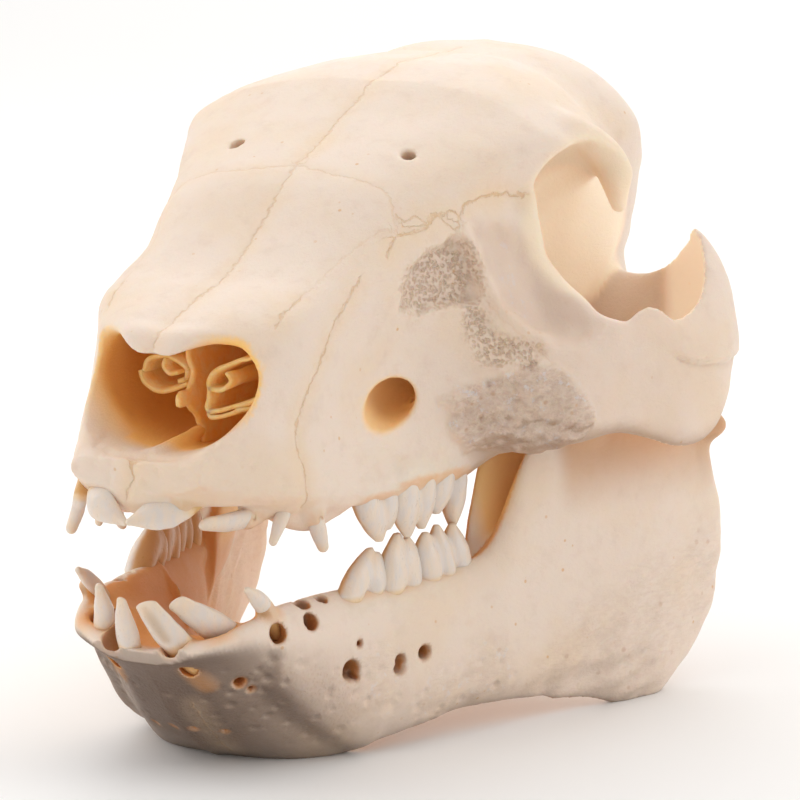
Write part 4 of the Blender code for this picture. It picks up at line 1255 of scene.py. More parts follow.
@dataclass
class CheekTooth:
    """A premolar whose leaf-shaped lobes stand in a row and grow together at the gum."""

    name: str
    jaw: Jaw
    front: float
    back: float
    half: float
    gum: float
    root: float
    lobes: tuple
    step: float = 0.17
    collar: float = 0.0
    bore: float = -0.5
    bed: float = 0.0

    def across(self, back: float) -> float:
        """How far across the row lies at a distance back."""
        first, last = self.lobes[0][0] - self.lobes[0][3], self.lobes[-1][0] + self.lobes[-1][3]
        return self.front + (self.back - self.front) * (back - first) / (last - first)

    def root_tube(self) -> tuple:
        """The tooth's buried part as a tube's points and radii, for its socket."""
        level = self.gum + (self.root - self.gum) * (0.5 if self.root < self.gum else 0.35)
        ends = (self.lobes[0][0] - self.lobes[0][3] * 0.3, self.lobes[-1][0] + self.lobes[-1][3] * 0.3)
        return [(self.across(y), y, level) for y in (ends[0], sum(ends) / 2, ends[1])], [self.half * 1.05] * 3

    def lobe_rings(self, lobe: tuple) -> list:
        """Lofts one lobe from its root to its tip."""
        low_back, high_back, tip, half_long = lobe
        angle = np.arange(28) * 2 * math.pi / 28
        rings = []
        for at in np.linspace(-0.62, 1.0, 22):
            rise = at if at > 0 else 0.0
            swell = 0.82 + 0.62 * rise - 1.25 * rise**2.5 if at > 0 else 0.82 + 0.4 * at
            thick = 0.95 + 0.15 * rise - 0.88 * rise**2.2 if at > 0 else 0.95 + 0.5 * at
            back = low_back + (high_back - low_back) * rise**0.8
            up = self.gum + ((tip - self.gum) * at if at > 0 else (self.gum - self.root) * at)
            centre = np.array([self.across(back) - 0.25 * rise, back, up])
            long = half_long * max(swell, 0.1)
            out = np.column_stack([np.cos(angle) * self.half * thick, np.sin(angle) * long])
            rings.append(centre + np.column_stack([out, np.zeros(len(angle))]))
        return rings

    def build(self, side: Side, finish: bpy.types.Material) -> bpy.types.Object:
        """Makes the tooth on one side.

        Args:
            side: left or right.
            finish: its material.

        Returns:
            The finished piece.
        """
        lobes = [self.lobe_rings(lobe) for lobe in self.lobes]
        cloud = np.concatenate([ring for lobe in lobes for ring in lobe])
        clay = Clay(tuple(cloud.min(0) - 1.2), tuple(cloud.max(0) + 1.2), self.step)
        for rings in lobes:
            clay.press(clay.skin(rings), 0.7)
        points, faces = clay.mesh(mirrored=False)
        normals = corner_normals(points, faces)
        points = points + normals * (Grain(1.3, 9).soft(points) * 0.07)[:, None]
        tips = (min if self.root > self.gum else max)(lobe[2] for lobe in self.lobes)
        at = np.clip((points[:, 2] - self.root) / (tips - self.root), 0, 1)
        gum = (self.gum - self.root) / (tips - self.root)
        return finished_tooth(self, points, faces, np.interp(at, (0, gum, 1), (0, 0.5, 1)), side, finish)


def all_teeth() -> list:
    """Every tooth of the left side, upper ones first."""
    teeth = []
    for name, (face, stations) in PEGS.items():
        teeth.append(PegTooth(name, Jaw.UPPER if name.startswith("upper") else Jaw.LOWER, face, stations))
    for name, sizes in CHEEK_TEETH.items():
        teeth.append(CheekTooth(name, Jaw.UPPER if name.startswith("upper") else Jaw.LOWER, *sizes))
    return teeth


@dataclass
class Bone:
    """What the two bones share: sockets, seams, relief, thinning and tints."""

    jaw: Jaw
    teeth: list
    seams: tuple
    canals: tuple
    clay: Clay
    finish: BoneFinish
    # how far from a tooth's buried part its socket's stain and painted shade reach
    socket_stain_and_shade_reach: float = 0.8

    def shape(self) -> None:
        """Presses the bone's forms together on the grid."""
        raise NotImplementedError

    def relief(self, points: np.ndarray, normals: np.ndarray) -> np.ndarray:
        """How far each point of the skin is pushed out, in millimetres."""
        raise NotImplementedError

    def tints(self, points: np.ndarray, normals: np.ndarray) -> dict:
        """The bone's own masks by name."""
        raise NotImplementedError

    def uneven(self, points: np.ndarray) -> np.ndarray:
        """How far the bone's true, uneven skin stands from the even form, for each point."""
        return np.zeros_like(points)

    def sockets(self) -> None:
        """Raises a low collar of bone round each tooth, bores its socket and opens its front."""
        for tooth in self.teeth:
            points, radii = tooth.root_tube()
            self.clay.tube(points, [r + tooth.collar for r in radii], 1.2)
        for tooth in self.teeth:
            points, radii = tooth.root_tube()
            self.clay.tube(points, [r + tooth.bore for r in radii], 0.4, away=True)
            if tooth.bed:
                self.clay.tube(*tooth.bed_tube(), 0.5, away=True)

    def seam_fields(self, points: np.ndarray, normals: np.ndarray) -> tuple:
        """Measures every point against the seams.

        Args:
            points: rows of across, back and up.
            normals: the outward direction at each.

        Returns:
            Distance to the nearest seam to one side or the other, plain distance, its strength,
            and the depth of its groove.
        """
        gap, side = np.full(len(points), FAR), np.full(len(points), FAR)
        force, depth = np.zeros(len(points)), np.zeros(len(points))
        for seam in self.seams:
            for way in ((1, 1, 1), (-1, 1, 1))[: 2 if seam.both else 1]:
                line = catmull_rom(np.array(seam.points, float) * way, 3)
                near = np.all((points > line.min(0) - 3) & (points < line.max(0) + 3), axis=1).nonzero()[0]
                here, out = points[near], normals[near]
                best, across = np.full(len(near), FAR), np.full(len(near), FAR)
                for a, b in zip(line, line[1:]):
                    ahead = b - a
                    share = np.clip(((here - a) @ ahead) / (ahead @ ahead), 0, 1)
                    off = here - a - share[:, None] * ahead
                    lift = np.einsum("ij,ij->i", off, out)
                    flat = np.linalg.norm(off - lift[:, None] * out, axis=1)
                    flat += np.maximum(np.abs(lift) - 2.0, 0)
                    aside = np.einsum("ij,ij->i", off, np.cross(ahead / np.linalg.norm(ahead), out))
                    nearer = flat < best
                    best[nearer], across[nearer] = flat[nearer], aside[nearer]
                closer = best < gap[near]
                chosen = near[closer]
                gap[chosen], side[chosen] = best[closer], across[closer]
                force[chosen], depth[chosen] = seam.strength, seam.depth
        return side, gap, force, depth

    def socket_gap(self, points: np.ndarray) -> np.ndarray:
        """Distance from each point to the nearest tooth's buried part, on its own side."""
        mirrored = to_left(points)
        best = np.full(len(points), 9.0)
        for tooth in self.teeth:
            line, radii = tooth.root_tube()
            low, high = np.min(line, 0) - 5, np.max(line, 0) + 5
            near = np.all((mirrored > low) & (mirrored < high), axis=1).nonzero()[0]
            gap = tube_distance(mirrored[near], line, radii, 2)
            if isinstance(tooth, CheekTooth):
                buried = (mirrored[near, 2] - tooth.gum) * np.sign(tooth.root - tooth.gum)
                gap = gap + np.maximum(buried - 0.3, 0)
            best[near] = np.minimum(best[near], gap)
        return best

    def build(self) -> bpy.types.Object:
        """Makes the bone.

        Returns:
            The finished piece.
        """
        self.shape()
        self.sockets()
        for points, radii in self.canals:
            self.clay.tube(points, radii, 0.45, away=True)
        points, faces = self.clay.mesh()
        normals = corner_normals(points, faces)
        side, gap, force, depth = self.seam_fields(points, normals)
        push = self.relief(points, normals)
        aside = np.abs(side + Grain(1.5, 3).soft(points) * 0.35)
        push -= depth * 0.6 * ease(0.75, 0.0, aside) * ease(1.4, 0.6, gap)
        points = points + normals * push[:, None] + self.uneven(points)
        points[:, 2] = np.maximum(points[:, 2], 0.0)
        name = self.jaw.node + "_bone"
        made = thinned(link(name, to_mesh(name, points, faces)), PIECE_TRIANGLES)
        mesh = made.data
        points = from_mesh(mesh)
        corners = np.empty(len(mesh.polygons) * 3, np.int32)
        mesh.polygons.foreach_get("vertices", corners)
        normals = corner_normals(points, corners.reshape(-1, 3))
        points = points - self.uneven(points)
        side, gap, force, depth = self.seam_fields(points, normals)
        # stain and painted shade round the teeth's necks
        stained = ease(self.socket_stain_and_shade_reach, 0.1, self.socket_gap(points))
        masks = {"seam_side": side, "seam_gap": gap, "seam_force": force, "socket": stained}
        masks.update(self.tints(points, normals))
        for mask, values in masks.items():
            note(mesh, mask, values)
        mesh.shade_smooth()
        mesh.materials.clear()
        mesh.materials.append(self.finish.material())
        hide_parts(self.jaw.node)
        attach(made, BODY)
        return made


ORBIT = ((35.0, 80.5, 75.0), (15.5, 13.0, 13.4))  # its hollow: middle, and half sizes
ORBIT_LIP = ((28.4, 69.6, 80.0), (29.2, 69.8, 75.4), (30.6, 69.0, 71.2), (33.4, 69.0, 67.0),
             (36.6, 69.2, 64.4), (39.2, 69.4, 62.3), (42.0, 71.0, 61.4))
ORBIT_FLOOR = ((31.6, 69.6, 67.0), (34.6, 69.6, 63.6), (37.6, 70.0, 60.6), (40.6, 72.0, 58.4))
RIGHT_WIDER = ((12, 0), (18, 0.4), (21, 1.6), (25, 2.7), (30, 2.8), (36, 2.4), (43, 2.8), (49, 2.3),
               (60, 2.1), (70, 2.1), (77, 2.5), (84, 1.3), (92, 0))
CROWN_LIFT = ((64, 0), (72, 0.9), (77, 0.4), (83, -0.2), (90, -1.3), (96, -1.7), (101, -0.9),
              (105, 0.0), (111, 1.4), (117, 1.8), (124, 1.3), (130, 0.6))
LACRIMAL_RIDGE = ((24.4, 54.8, 77.4), (25.2, 56.0, 74.0), (26.6, 56.8, 70.0), (28.6, 58.2, 66.0),
                  (32.0, 60.0, 62.4), (36.0, 61.6, 59.0))


@dataclass
class Cranium(Bone):
    """The upper skull: face, brow and braincase, cheek arches, and the openings in them."""

    nose: np.ndarray = field(init=False, default=None)

    def shape(self) -> None:
        """Presses the upper skull's forms together and opens its hollows."""
        clay = self.clay
        clay.press(clay.skin(half_rings(CRANIUM_SECTIONS)), 0.5)
        clay.press(clay.skin(wall_rings(ARCH, cupped)), 3.0)
        clay.press(clay.skin(wall_rings(WING)), 2.0)
        clay.tube(((29, 82, 88), (31.5, 87, 86.5), (32.4, 90, 83)), (4.2, 3.4, 2.6), 2.5)
        clay.egg((8.0, 125.0, 60.5), (4.6, 6.0, 6.8), 2.0, turn=-20)
        clay.tube(((18, 113, 62), (18.6, 114, 52), (18.0, 113, 42)), (5.0, 3.6, 1.8), 3.0)
        clay.egg((13.0, 106.0, 51.0), (4.6, 7.0, 7.0), 2.0)
        self.nose = clay.skin(half_rings(NOSE_SECTIONS))
        clay.cut(self.nose, 0.9)
        clay.egg((0, 74, 51), (6.6, 11, 7.5), 1.5, away=True)
        clay.egg((0, 101, 77), (21, 23, 18.6), 1.5, away=True)
        clay.tube(((0, 112, 70), (0, 122, 67.5), (0, 134, 66)), (8.0, 7.4, 7.4), 1.5, away=True)
        clay.egg(*ORBIT, 1.8, away=True)
        clay.tube(((31.4, 85, 88.0), (32.4, 88.6, 85.4), (32.6, 90.4, 82.0), (33.2, 90.8, 77.6)),
                  (1.6, 2.2, 2.4, 1.3), 2.4)
        clay.tube(ORBIT_FLOOR, (2.4, 3.2, 3.2, 2.6), 2.5)
        clay.tube(ORBIT_LIP, (1.0, 1.3, 1.3, 1.3, 1.3, 1.3, 1.0), 3.0)
        clay.tube(((0, 6.8, 48.4), (0, 19.7, 50.3), (0, 26, 50)), (1.0, 0.9, 0.9), 2.0)
        clay.tube(((12.8, 17.0, 40.2), (14.2, 20.5, 38.6), (15.6, 24.6, 37.6), (17.4, 28.4, 38.8)),
                  (1.2, 1.8, 1.8, 1.3), 2.5)
        clay.egg((0, 4.2, 43.2), (6.5, 3.4, 2.9), 1.5)

    def uneven(self, points: np.ndarray) -> np.ndarray:
        """The right side of the brow and snout stands wider, and the crown fuller behind."""
        x, y, z = points.T
        back, out = np.array(RIGHT_WIDER).T
        start = np.interp(y, (35, 55), (0, -15))
        right = np.interp(y, back, out) * ease(start, start - 11.0, x) * fade(points, up=(60.0, 68.0))
        left = np.interp(y, (18, 28, 50, 60, 66), (0, 0.9, 0.9, 0.5, 0))
        left *= fade(points, (4.0, 14.0), (), (62.0, 70.0))
        pinch = 0.7 * fade(points, (-6.0, -13.0), (18.0, 12.0), (46.0, 50.0)) * fade(points, up=(66.0, 61.0))
        back, up = np.array(CROWN_LIFT).T
        lift = np.interp(y, back, up) * fade(points, up=(79.0, 92.0))
        sides = np.column_stack([np.abs(x), y, z])
        outer = 0.9 * fade(sides, (8.0, 18.0), (98.0, 108.0), (82.0, 88.0)) * np.sign(x)
        arch = 0.8 * fade(sides, (39.0, 44.0), (86.0, 95.0)) * np.sign(x)
        inner = 1.2 * fade(points, (), (114.0, 121.0), (82.0, 78.0)) * fade(points, up=(68.0, 72.0))
        return np.column_stack([left - right + pinch + outer + arch, -inner, lift])

    def relief(self, points: np.ndarray, normals: np.ndarray) -> np.ndarray:
        """How far each point of the upper skull's skin is pushed out, in millimetres."""
        fossa, lower, crest, flank = (region.inside(points) for region in (FOSSA, LOWER_FOSSA, CREST, FLANK))
        snout, lip = covered(points, SNOUT_SIDE, 0.6), covered(points, LIP, 0.5)
        mirrored = to_left(points)
        push = Grain(9.0, 21).soft(points) * 0.22 + Grain(3.1, 22).soft(points) * 0.07
        climb = ease(34.0, 44.0, points[:, 1] * 0.8 + (points[:, 2] - 62.0) * 0.5)
        sunk = ease(-0.4, 1.5, fossa) * (0.5 + 1.6 * climb)
        push -= np.maximum(sunk, ease(-0.6, 1.8, lower) * 0.9)
        push -= ease(-1.0, 3.5, flank) * 1.2
        push += ease(-0.8, 0.8, crest) * 0.8
        ridge = tube_distance(mirrored, LACRIMAL_RIDGE, [0.2] * len(LACRIMAL_RIDGE), 2)
        push += ease(2.0, 0.0, ridge) * 0.8
        porous = ease(-0.4, 0.4, np.maximum(fossa, lower))
        mesh, holes = Grain(1.1, 32).soft(points), ease(0.5, 0.2, Grain(1.1, 31).pores(points))
        push += porous * (mesh * 0.22 - holes * 0.2)
        rough = ease(-0.5, 0.5, crest)
        fibre = points @ np.array([[1, 0, 0], [0, 0.9, 0.44], [0, -0.44, 0.9]]).T * (1, 0.4, 1.5)
        push += rough * (Grain(1.8, 33).soft(fibre) * 0.5 + Grain(0.9, 34).soft(fibre) * 0.25)
        push -= rough * ease(0.34, 0.1, Grain(2.6, 37).pores(points)) * ease(60.0, 52.0, points[:, 1]) * 0.7
        push -= np.maximum(snout, lip) * ease(0.42, 0.18, Grain(2.1, 35).pores(points * (1, 0.6, 1))) * 0.16
        push += lip * Grain(1.2, 36).soft(points) * 0.1
        rise = mirrored[:, 2] - np.interp(mirrored[:, 1], *np.array(STEP_LINE).T)
        arch = fade(mirrored, (43.5, 45.5), (79.0, 83.0)) * fade(mirrored, back=(102.0, 99.0))
        arch *= ease(0.0, 0.5, normals[:, 0] * np.sign(points[:, 0]) + normals[:, 1] * 0.5)
        raised = ease(-0.2, 0.5, rise) * ease(7.0, 2.0, rise)
        sunk = ease(0.1, -0.5, rise) * ease(-6.0, -2.0, rise)
        push += arch * (0.5 * raised - 0.3 * sunk)
        return push - arch * 0.5 * ease(0.6, 0.0, np.abs(rise + 0.1))

    def tints(self, points: np.ndarray, normals: np.ndarray) -> dict:
        """The upper skull's masks by name."""
        mirrored = to_left(points)
        outward = normals[:, 0] * np.sign(points[:, 0])
        index = np.round(mirrored / self.clay.step).astype(int) - self.clay.start
        index = np.clip(index, 0, np.array(self.clay.shape) - 1)
        # the nose chamber's inside, given a painted orange glow
        shaded = np.where(points[:, 0] < -7.0, fade(points, back=(6.0, 15.0)), fade(points, back=(7.0, 12.0)))
        inside = ease(1.0, 0.2, self.nose[tuple(index.T)]) * shaded
        orbit = egg_distance(mirrored, *ORBIT)
        socket = ease(3.0, 0.5, orbit) * fade(mirrored, across=(44.0, 41.0))
        # the orbit's upper front wall, given painted warm shade
        vault = ease(6.0, 3.0, orbit) * ease(0.0, 0.4, normals[:, 1])
        vault *= fade(mirrored, (37.0, 31.0), (86.0, 76.0), (67.0, 74.0))
        line, radii = self.canals[1]
        canal = ease(0.9, -0.2, tube_distance(mirrored, line, [r - 0.1 for r in radii]))
        fossa, lower, crest, flank = (region.inside(points) for region in (FOSSA, LOWER_FOSSA, CREST, FLANK))
        climb = ease(33.0, 43.0, mirrored[:, 1] * 0.8 + (mirrored[:, 2] - 62.0) * 0.5)
        rear = ease(0.1, -0.3, outward) * fade(mirrored, (33.0, 37.0), (76.0, 80.0))
        outer = ease(0.2, 0.7, outward)
        temple = ease(3.0, 0.0, egg_distance(mirrored, (26.0, 92.0, 68.0), (9.0, 18.0, 15.0))) * outer
        cheek = outer * fade(mirrored, (), (46.0, 58.0), (74.0, 66.0)) * fade(mirrored, back=(94.0, 80.0))
        below = ease(-0.1, -0.7, normals[:, 2]) * fade(mirrored, up=(53.0, 50.0))
        lip = covered(points, LIP, 0.4) * fade(points, across=(-6.0, 4.0))
        ragged = np.maximum(fossa, lower) + Grain(2.5, 38).soft(points) * 0.7
        # painted light: the orbit's hollow, the arch's inner face and the temple glow
        lit = socket * fade(mirrored, (), (74.0, 82.0), (84.0, 76.0))
        return {
            "porous": ease(-1.4, 1.4, ragged) * (0.35 + 0.65 * climb),
            "rough": ease(-0.6, 0.6, crest),
            "chalky": ease(-1.0, 0.6, np.maximum(crest, flank - 2.5)),
            "shadow": np.max([cheek * 0.45, ease(-2.0, 1.0, flank) * 0.8,
                              ease(-1.0, 2.0, np.maximum(fossa - 1.0, crest)) * 0.5, lip * 0.7], axis=0),
            # painted light in the orbit's hollow, on the arch's inner face and the temple; an amber tone on
            # the lip
            "painted_glow_and_amber_tone": np.max([socket * 0.8, rear * 0.8, temple * 0.8, lip * 0.35], axis=0),
            # painted warm shade under the arch and in the orbit's upper front
            "painted_ochre_shade": np.maximum(below * 0.15, vault * 0.6),
            # painted orange glow inside the nose chamber and the canal
            "depth": np.maximum(inside, canal * fade(mirrored, across=(23.5, 21.0)) * 0.8),
            "lit": np.max([lit, rear * 1.8, temple], axis=0) * (1.0 - vault),
            "painted_foramen_shade": np.zeros(len(points)),
            # painted shade on the downward faces under the cheek arches
            "painted_underside_shade": below * 0.55 * fade(mirrored, back=(50.0, 56.0)),
        }


@dataclass
class Mandible(Bone):
    """The lower jaw: chin, two bodies, and two upright rami with their joint knobs."""

    def shape(self) -> None:
        """Presses the lower jaw's forms together."""
        clay = self.clay
        clay.press(clay.skin(half_rings(SYMPHYSIS_SECTIONS)), 0.5)
        clay.press(clay.skin(wall_rings(RAMUS)), 3.0)
        clay.press(clay.skin(wall_rings(POCKET_WALL)), 3.0)
        clay.tube(((33.5, 76, 46), (33.2, 79, 56), (33.0, 81.5, 61)), (4.0, 2.6, 1.4), 2.5)
        clay.egg((40.5, 101.0, 42.2), (7.0, 3.8, 3.2), 2.5)

    def uneven(self, points: np.ndarray) -> np.ndarray:
        """The right rim of the chin stands wider, and the corner of the jaw fuller behind."""
        rim = 1.4 * fade(points, (-8.0, -13.0), (25.0, 12.0), (17.0, 21.0))
        chin = fade(points, (-5.0, -11.0), (20.0, 10.0), (19.0, 15.0)) * fade(points, up=(4.0, 9.0))
        corner = 1.1 * fade(points, (), (92.0, 103.0), (1.0, 8.0)) * fade(points, up=(35.0, 26.0))
        neck = 0.8 * fade(points, (), (97.0, 103.0), (29.0, 36.0))
        return np.column_stack([chin - rim, corner - neck, np.zeros(len(points))])

    def relief(self, points: np.ndarray, normals: np.ndarray) -> np.ndarray:
        """How far each point of the lower jaw's skin is pushed out, in millimetres."""
        corner, beside, chin = (covered(points, patch, 0.5) for patch in (JAW_CORNER, JAW_SIDE, CHIN))
        push = Grain(8.0, 41).soft(points) * 0.2 + Grain(2.9, 42).soft(points) * 0.07
        slanted = points @ np.array([[1, 0, 0], [0, 0.8, 0.6], [0, -0.6, 0.8]]).T
        push += corner * Grain(2.2, 43).soft(slanted * (1, 0.35, 1.2)) * 0.4
        push += beside * Grain(1.5, 44).soft(slanted * (1, 0.4, 1.0)) * 0.22
        push -= np.maximum(beside, chin) * ease(0.4, 0.18, Grain(2.3, 45).pores(points)) * 0.18
        return push

    def tints(self, points: np.ndarray, normals: np.ndarray) -> dict:
        """The lower jaw's masks by name."""
        mirrored = to_left(points)
        # the jaw's inner faces, its front floor and the ramus under the arch are given painted warm shade
        inner = ease(0.0, -0.4, normals[:, 0] * np.sign(points[:, 0]))
        inner *= fade(mirrored, (5.0, 10.0), (5.0, 9.0))
        inner *= 0.25 + 0.65 * fade(points, back=(88.0, 64.0))
        pocket = fade(mirrored, (31.0, 28.0), (60.0, 63.0), (20.0, 26.0))
        bores = np.full(len(points), 9.0)
        for line, radii in self.canals:
            bores = np.minimum(bores, tube_distance(mirrored, line, radii, 2))
        # painted shade in the mouths of the bored foramina
        pits = ease(0.55, 0.15, bores) * ease(0.15, -0.5, np.abs(normals[:, 0]) - 1.2)
        back_facing = ease(0.1, 0.6, normals[:, 1]) * fade(points, up=(12.0, 15.0))
        floor = np.maximum(ease(0.0, 0.5, normals[:, 2]), back_facing)
        floor *= fade(mirrored, (14.0, 10.0), (3.0, 7.0))
        under = fade(mirrored, (30.0, 33.0), (68.0, 72.0), (30.0, 43.0))
        # painted shade on faces that look down, or forward and down, strongest at the chin
        downward = normals[:, 2] * 0.75 + normals[:, 1] * 0.45 + fade(points, back=(20.0, 45.0)) * 0.1
        downward_shade = ease(-0.05, -0.9, downward) * (0.75 + 0.3 * fade(points, back=(30.0, 10.0)))
        return {
            "porous": covered(points, CHIN, 0.4) * 0.35,
            "rough": covered(points, JAW_CORNER, 0.5) * 0.35 + covered(points, JAW_SIDE, 0.5) * 0.3,
            "chalky": covered(points, JAW_SIDE, 0.5) * 0.5,
            "shadow": covered(points, CHIN, 0.6) * 0.6,
            "lit": np.zeros(len(points)),
            # painted shade below, and on the ramus where the arch overhangs it
            "painted_underside_shade": np.maximum(under * 0.4, downward_shade),
            # painted glow in the pocket behind the cheek teeth
            "painted_glow_and_amber_tone": pocket * 0.5,
            # painted warm shade on the jaw's inner faces, its front floor and the ramus under the arch
            "painted_ochre_shade": np.max([inner, floor, under * 0.45], axis=0),
            # painted shade in the foramina
            "painted_foramen_shade": pits * 0.5,
            # painted orange glow in the pocket behind the cheek teeth
            "depth": pocket * 0.8,
        }


@dataclass(frozen=True)
class Concha:
    """The thin scrolled plates on one side of the nose chamber.

    Each plate is a curl across the nose; Geometry Nodes draw it backwards, ripple and thicken it.
    """

    side: Side
    front: float
    curls: tuple
    depth: float = 24.0
    thick: float = 0.6
    ripple: float = 1.5

    def tree(self) -> bpy.types.NodeTree:
        """Builds the sweep, with inputs for its depth, ripple, thickness and finish."""
        tree = bpy.data.node_groups.new("scrolled plate", "GeometryNodeTree")
        face = tree.interface
        face.new_socket("Curls", in_out="INPUT", socket_type="NodeSocketGeometry")
        for name in ("Depth", "Ripple", "Thickness"):
            face.new_socket(name, in_out="INPUT", socket_type="NodeSocketFloat")
        face.new_socket("Finish", in_out="INPUT", socket_type="NodeSocketMaterial")
        face.new_socket("Plates", in_out="OUTPUT", socket_type="NodeSocketGeometry")
        make, wire = tree.nodes.new, tree.links.new
        given, result = make("NodeGroupInput"), make("NodeGroupOutput")
        edges, reach, swept = (make(kind) for kind in (
            "GeometryNodeCurveToMesh", "ShaderNodeCombineXYZ", "GeometryNodeExtrudeMesh"))
        swept.mode = "EDGES"
        wire(given.outputs["Curls"], edges.inputs["Curve"])
        wire(given.outputs["Depth"], reach.inputs["Y"])
        wire(edges.outputs["Mesh"], swept.inputs["Mesh"])
        wire(reach.outputs[0], swept.inputs["Offset"])
        fine, noise, centred, scaled, moved = (make(kind) for kind in (
            "GeometryNodeSubdivideMesh", "ShaderNodeTexNoise", "ShaderNodeVectorMath", "ShaderNodeVectorMath",
            "GeometryNodeSetPosition"))
        fine.inputs["Level"].default_value = 3
        noise.inputs["Scale"].default_value = 1 / (5.0 * MM)
        centred.operation, scaled.operation = "SUBTRACT", "SCALE"
        centred.inputs[1].default_value = (0.5, 0.5, 0.5)
        wire(swept.outputs["Mesh"], fine.inputs["Mesh"])
        wire(noise.outputs["Color"], centred.inputs[0])
        wire(centred.outputs[0], scaled.inputs[0])
        wire(given.outputs["Ripple"], scaled.inputs["Scale"])
        wire(fine.outputs["Mesh"], moved.inputs["Geometry"])
        wire(scaled.outputs[0], moved.inputs["Offset"])
        thick, back, both, merge, real, paint = (make("GeometryNode" + kind) for kind in (
            "ExtrudeMesh", "FlipFaces", "JoinGeometry", "MergeByDistance", "RealizeInstances", "SetMaterial"))
        thick.inputs["Individual"].default_value = False
        wire(moved.outputs["Geometry"], thick.inputs["Mesh"])
        wire(given.outputs["Thickness"], thick.inputs["Offset Scale"])
        wire(moved.outputs["Geometry"], back.inputs["Mesh"])
        wire(thick.outputs["Mesh"], both.inputs[0])
        wire(back.outputs["Mesh"], both.inputs[0])
        merge.inputs["Distance"].default_value = 0.005 * MM
        wire(both.outputs[0], merge.inputs["Geometry"])
        wire(merge.outputs["Geometry"], real.inputs["Geometry"])
        wire(real.outputs["Geometry"], paint.inputs["Geometry"])
        wire(given.outputs["Finish"], paint.inputs["Material"])
        wire(paint.outputs["Geometry"], result.inputs["Plates"])
        return tree

    def build(self, finish: bpy.types.Material) -> bpy.types.Object:
        """Makes the plates of this side as one piece.

        Args:
            finish: their material.

        Returns:
            The finished piece.
        """
        data = bpy.data.curves.new("curls", "CURVE")
        data.dimensions = "3D"
        for curl in self.curls:
            line = catmull_rom(curl, 4)
            spline = data.splines.new("POLY")
            spline.points.add(len(line) - 1)
            for knot, (across, up) in zip(spline.points, line):
                knot.co = (across * MM, (self.front - FRONT_TO_ORIGIN) * MM, up * MM, 1)
        drawn = link("curls", data)
        sweep = drawn.modifiers.new("Sweep", "NODES")
        sweep.node_group = self.tree()
        sizes = {name: size * MM for name, size in (
            ("Depth", self.depth), ("Ripple", self.ripple), ("Thickness", self.thick))}
        sizes["Finish"] = finish
        for item in sweep.node_group.interface.items_tree:
            if item.in_out == "INPUT" and item.name in sizes:
                sweep[item.identifier] = sizes[item.name]
        bpy.context.view_layer.update()
        mesh = bpy.data.meshes.new_from_object(drawn.evaluated_get(bpy.context.evaluated_depsgraph_get()))
        bpy.data.objects.remove(drawn)
        bm = bmesh.new()
        bm.from_mesh(mesh)
        bmesh.ops.recalc_face_normals(bm, faces=bm.faces)
        bm.to_mesh(mesh)
        bm.free()
        return thin_plate(f"nasal_concha_{self.side.word}", mesh, finish)


CONCHAE = (
    Concha(Side.LEFT, 15.0, (
        ((14.0, 63.4), (11.1, 62.1), (9.6, 61.8), (7.0, 60.6), (4.8, 59.4), (4.3, 58.0), (6.0, 57.8),
         (7.5, 58.8), (6.9, 59.8)),
        ((4.3, 57.9), (4.4, 56.1), (4.6, 54.3), (9.5, 55.8), (12.3, 57.1), (14.4, 57.6)),
        ((4.7, 54.2), (4.9, 53.5), (7.5, 54.1), (10.4, 55.4), (14.0, 56.2)))),
    Concha(Side.RIGHT, 18.0, (
        ((-9.2, 58.6), (-8.6, 60.2), (-7.0, 61.2), (-4.2, 61.3), (-1.9, 60.4), (-1.0, 59.4),
         (-1.3, 57.8), (-2.6, 57.4)),
        ((-4.6, 60.6), (-5.0, 59.6), (-4.0, 58.9), (-2.6, 59.2)),
        ((-9.2, 58.6), (-8.2, 57.0), (-6.0, 56.2), (-3.4, 56.8), (-1.4, 57.6)))),
)
SEPTUM = Field(
    ((16.8, 65.6), (16.8, 62.3), (17.0, 60.5), (17.3, 59.2), (16.7, 57.8), (13.4, 57.1),
     (12.9, 55.2), (16.6, 52.9), (19.7, 50.4), (20.6, 48.2), (40.0, 48.2), (58.0, 49.6),
     (58.0, 78.6), (46.0, 78.6), (36.0, 74.0), (28.0, 70.0), (20.0, 67.6)), (-1, 60))


def thin_plate(name: str, mesh: bpy.types.Mesh, finish: bpy.types.Material) -> bpy.types.Object:
    """Hands a plate of the nose chamber over as a piece of its own."""
    mesh.shade_smooth()
    mesh.materials.clear()
    mesh.materials.append(finish)
    made = link(name, mesh)
    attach(made, BODY)
    return made


def septum(finish: bpy.types.Material) -> bpy.types.Object:
    """Makes the upright wall in the middle of the nose chamber."""
    clay = Clay((-2.4, 10, 46), (2.4, 61, 81), 0.4)
    box, places = clay.around([clay.low, clay.high], 0.0)
    flat = places.reshape(-1, 3)
    bowed = flat[:, 0] + Grain(9.0, 52).soft(flat * (0, 1, 1)) * 0.7
    edge, face = 0.45 - SEPTUM.inside(flat), np.abs(bowed) - 0.1
    gap = np.hypot(np.maximum(edge, 0), np.maximum(face, 0)) + np.minimum(np.maximum(edge, face), 0) - 0.4
    clay.block[box] = gap.reshape(places.shape[:-1])
    return thin_plate("nasal_septum", to_mesh("nasal_septum", *clay.mesh(mirrored=False)), finish)


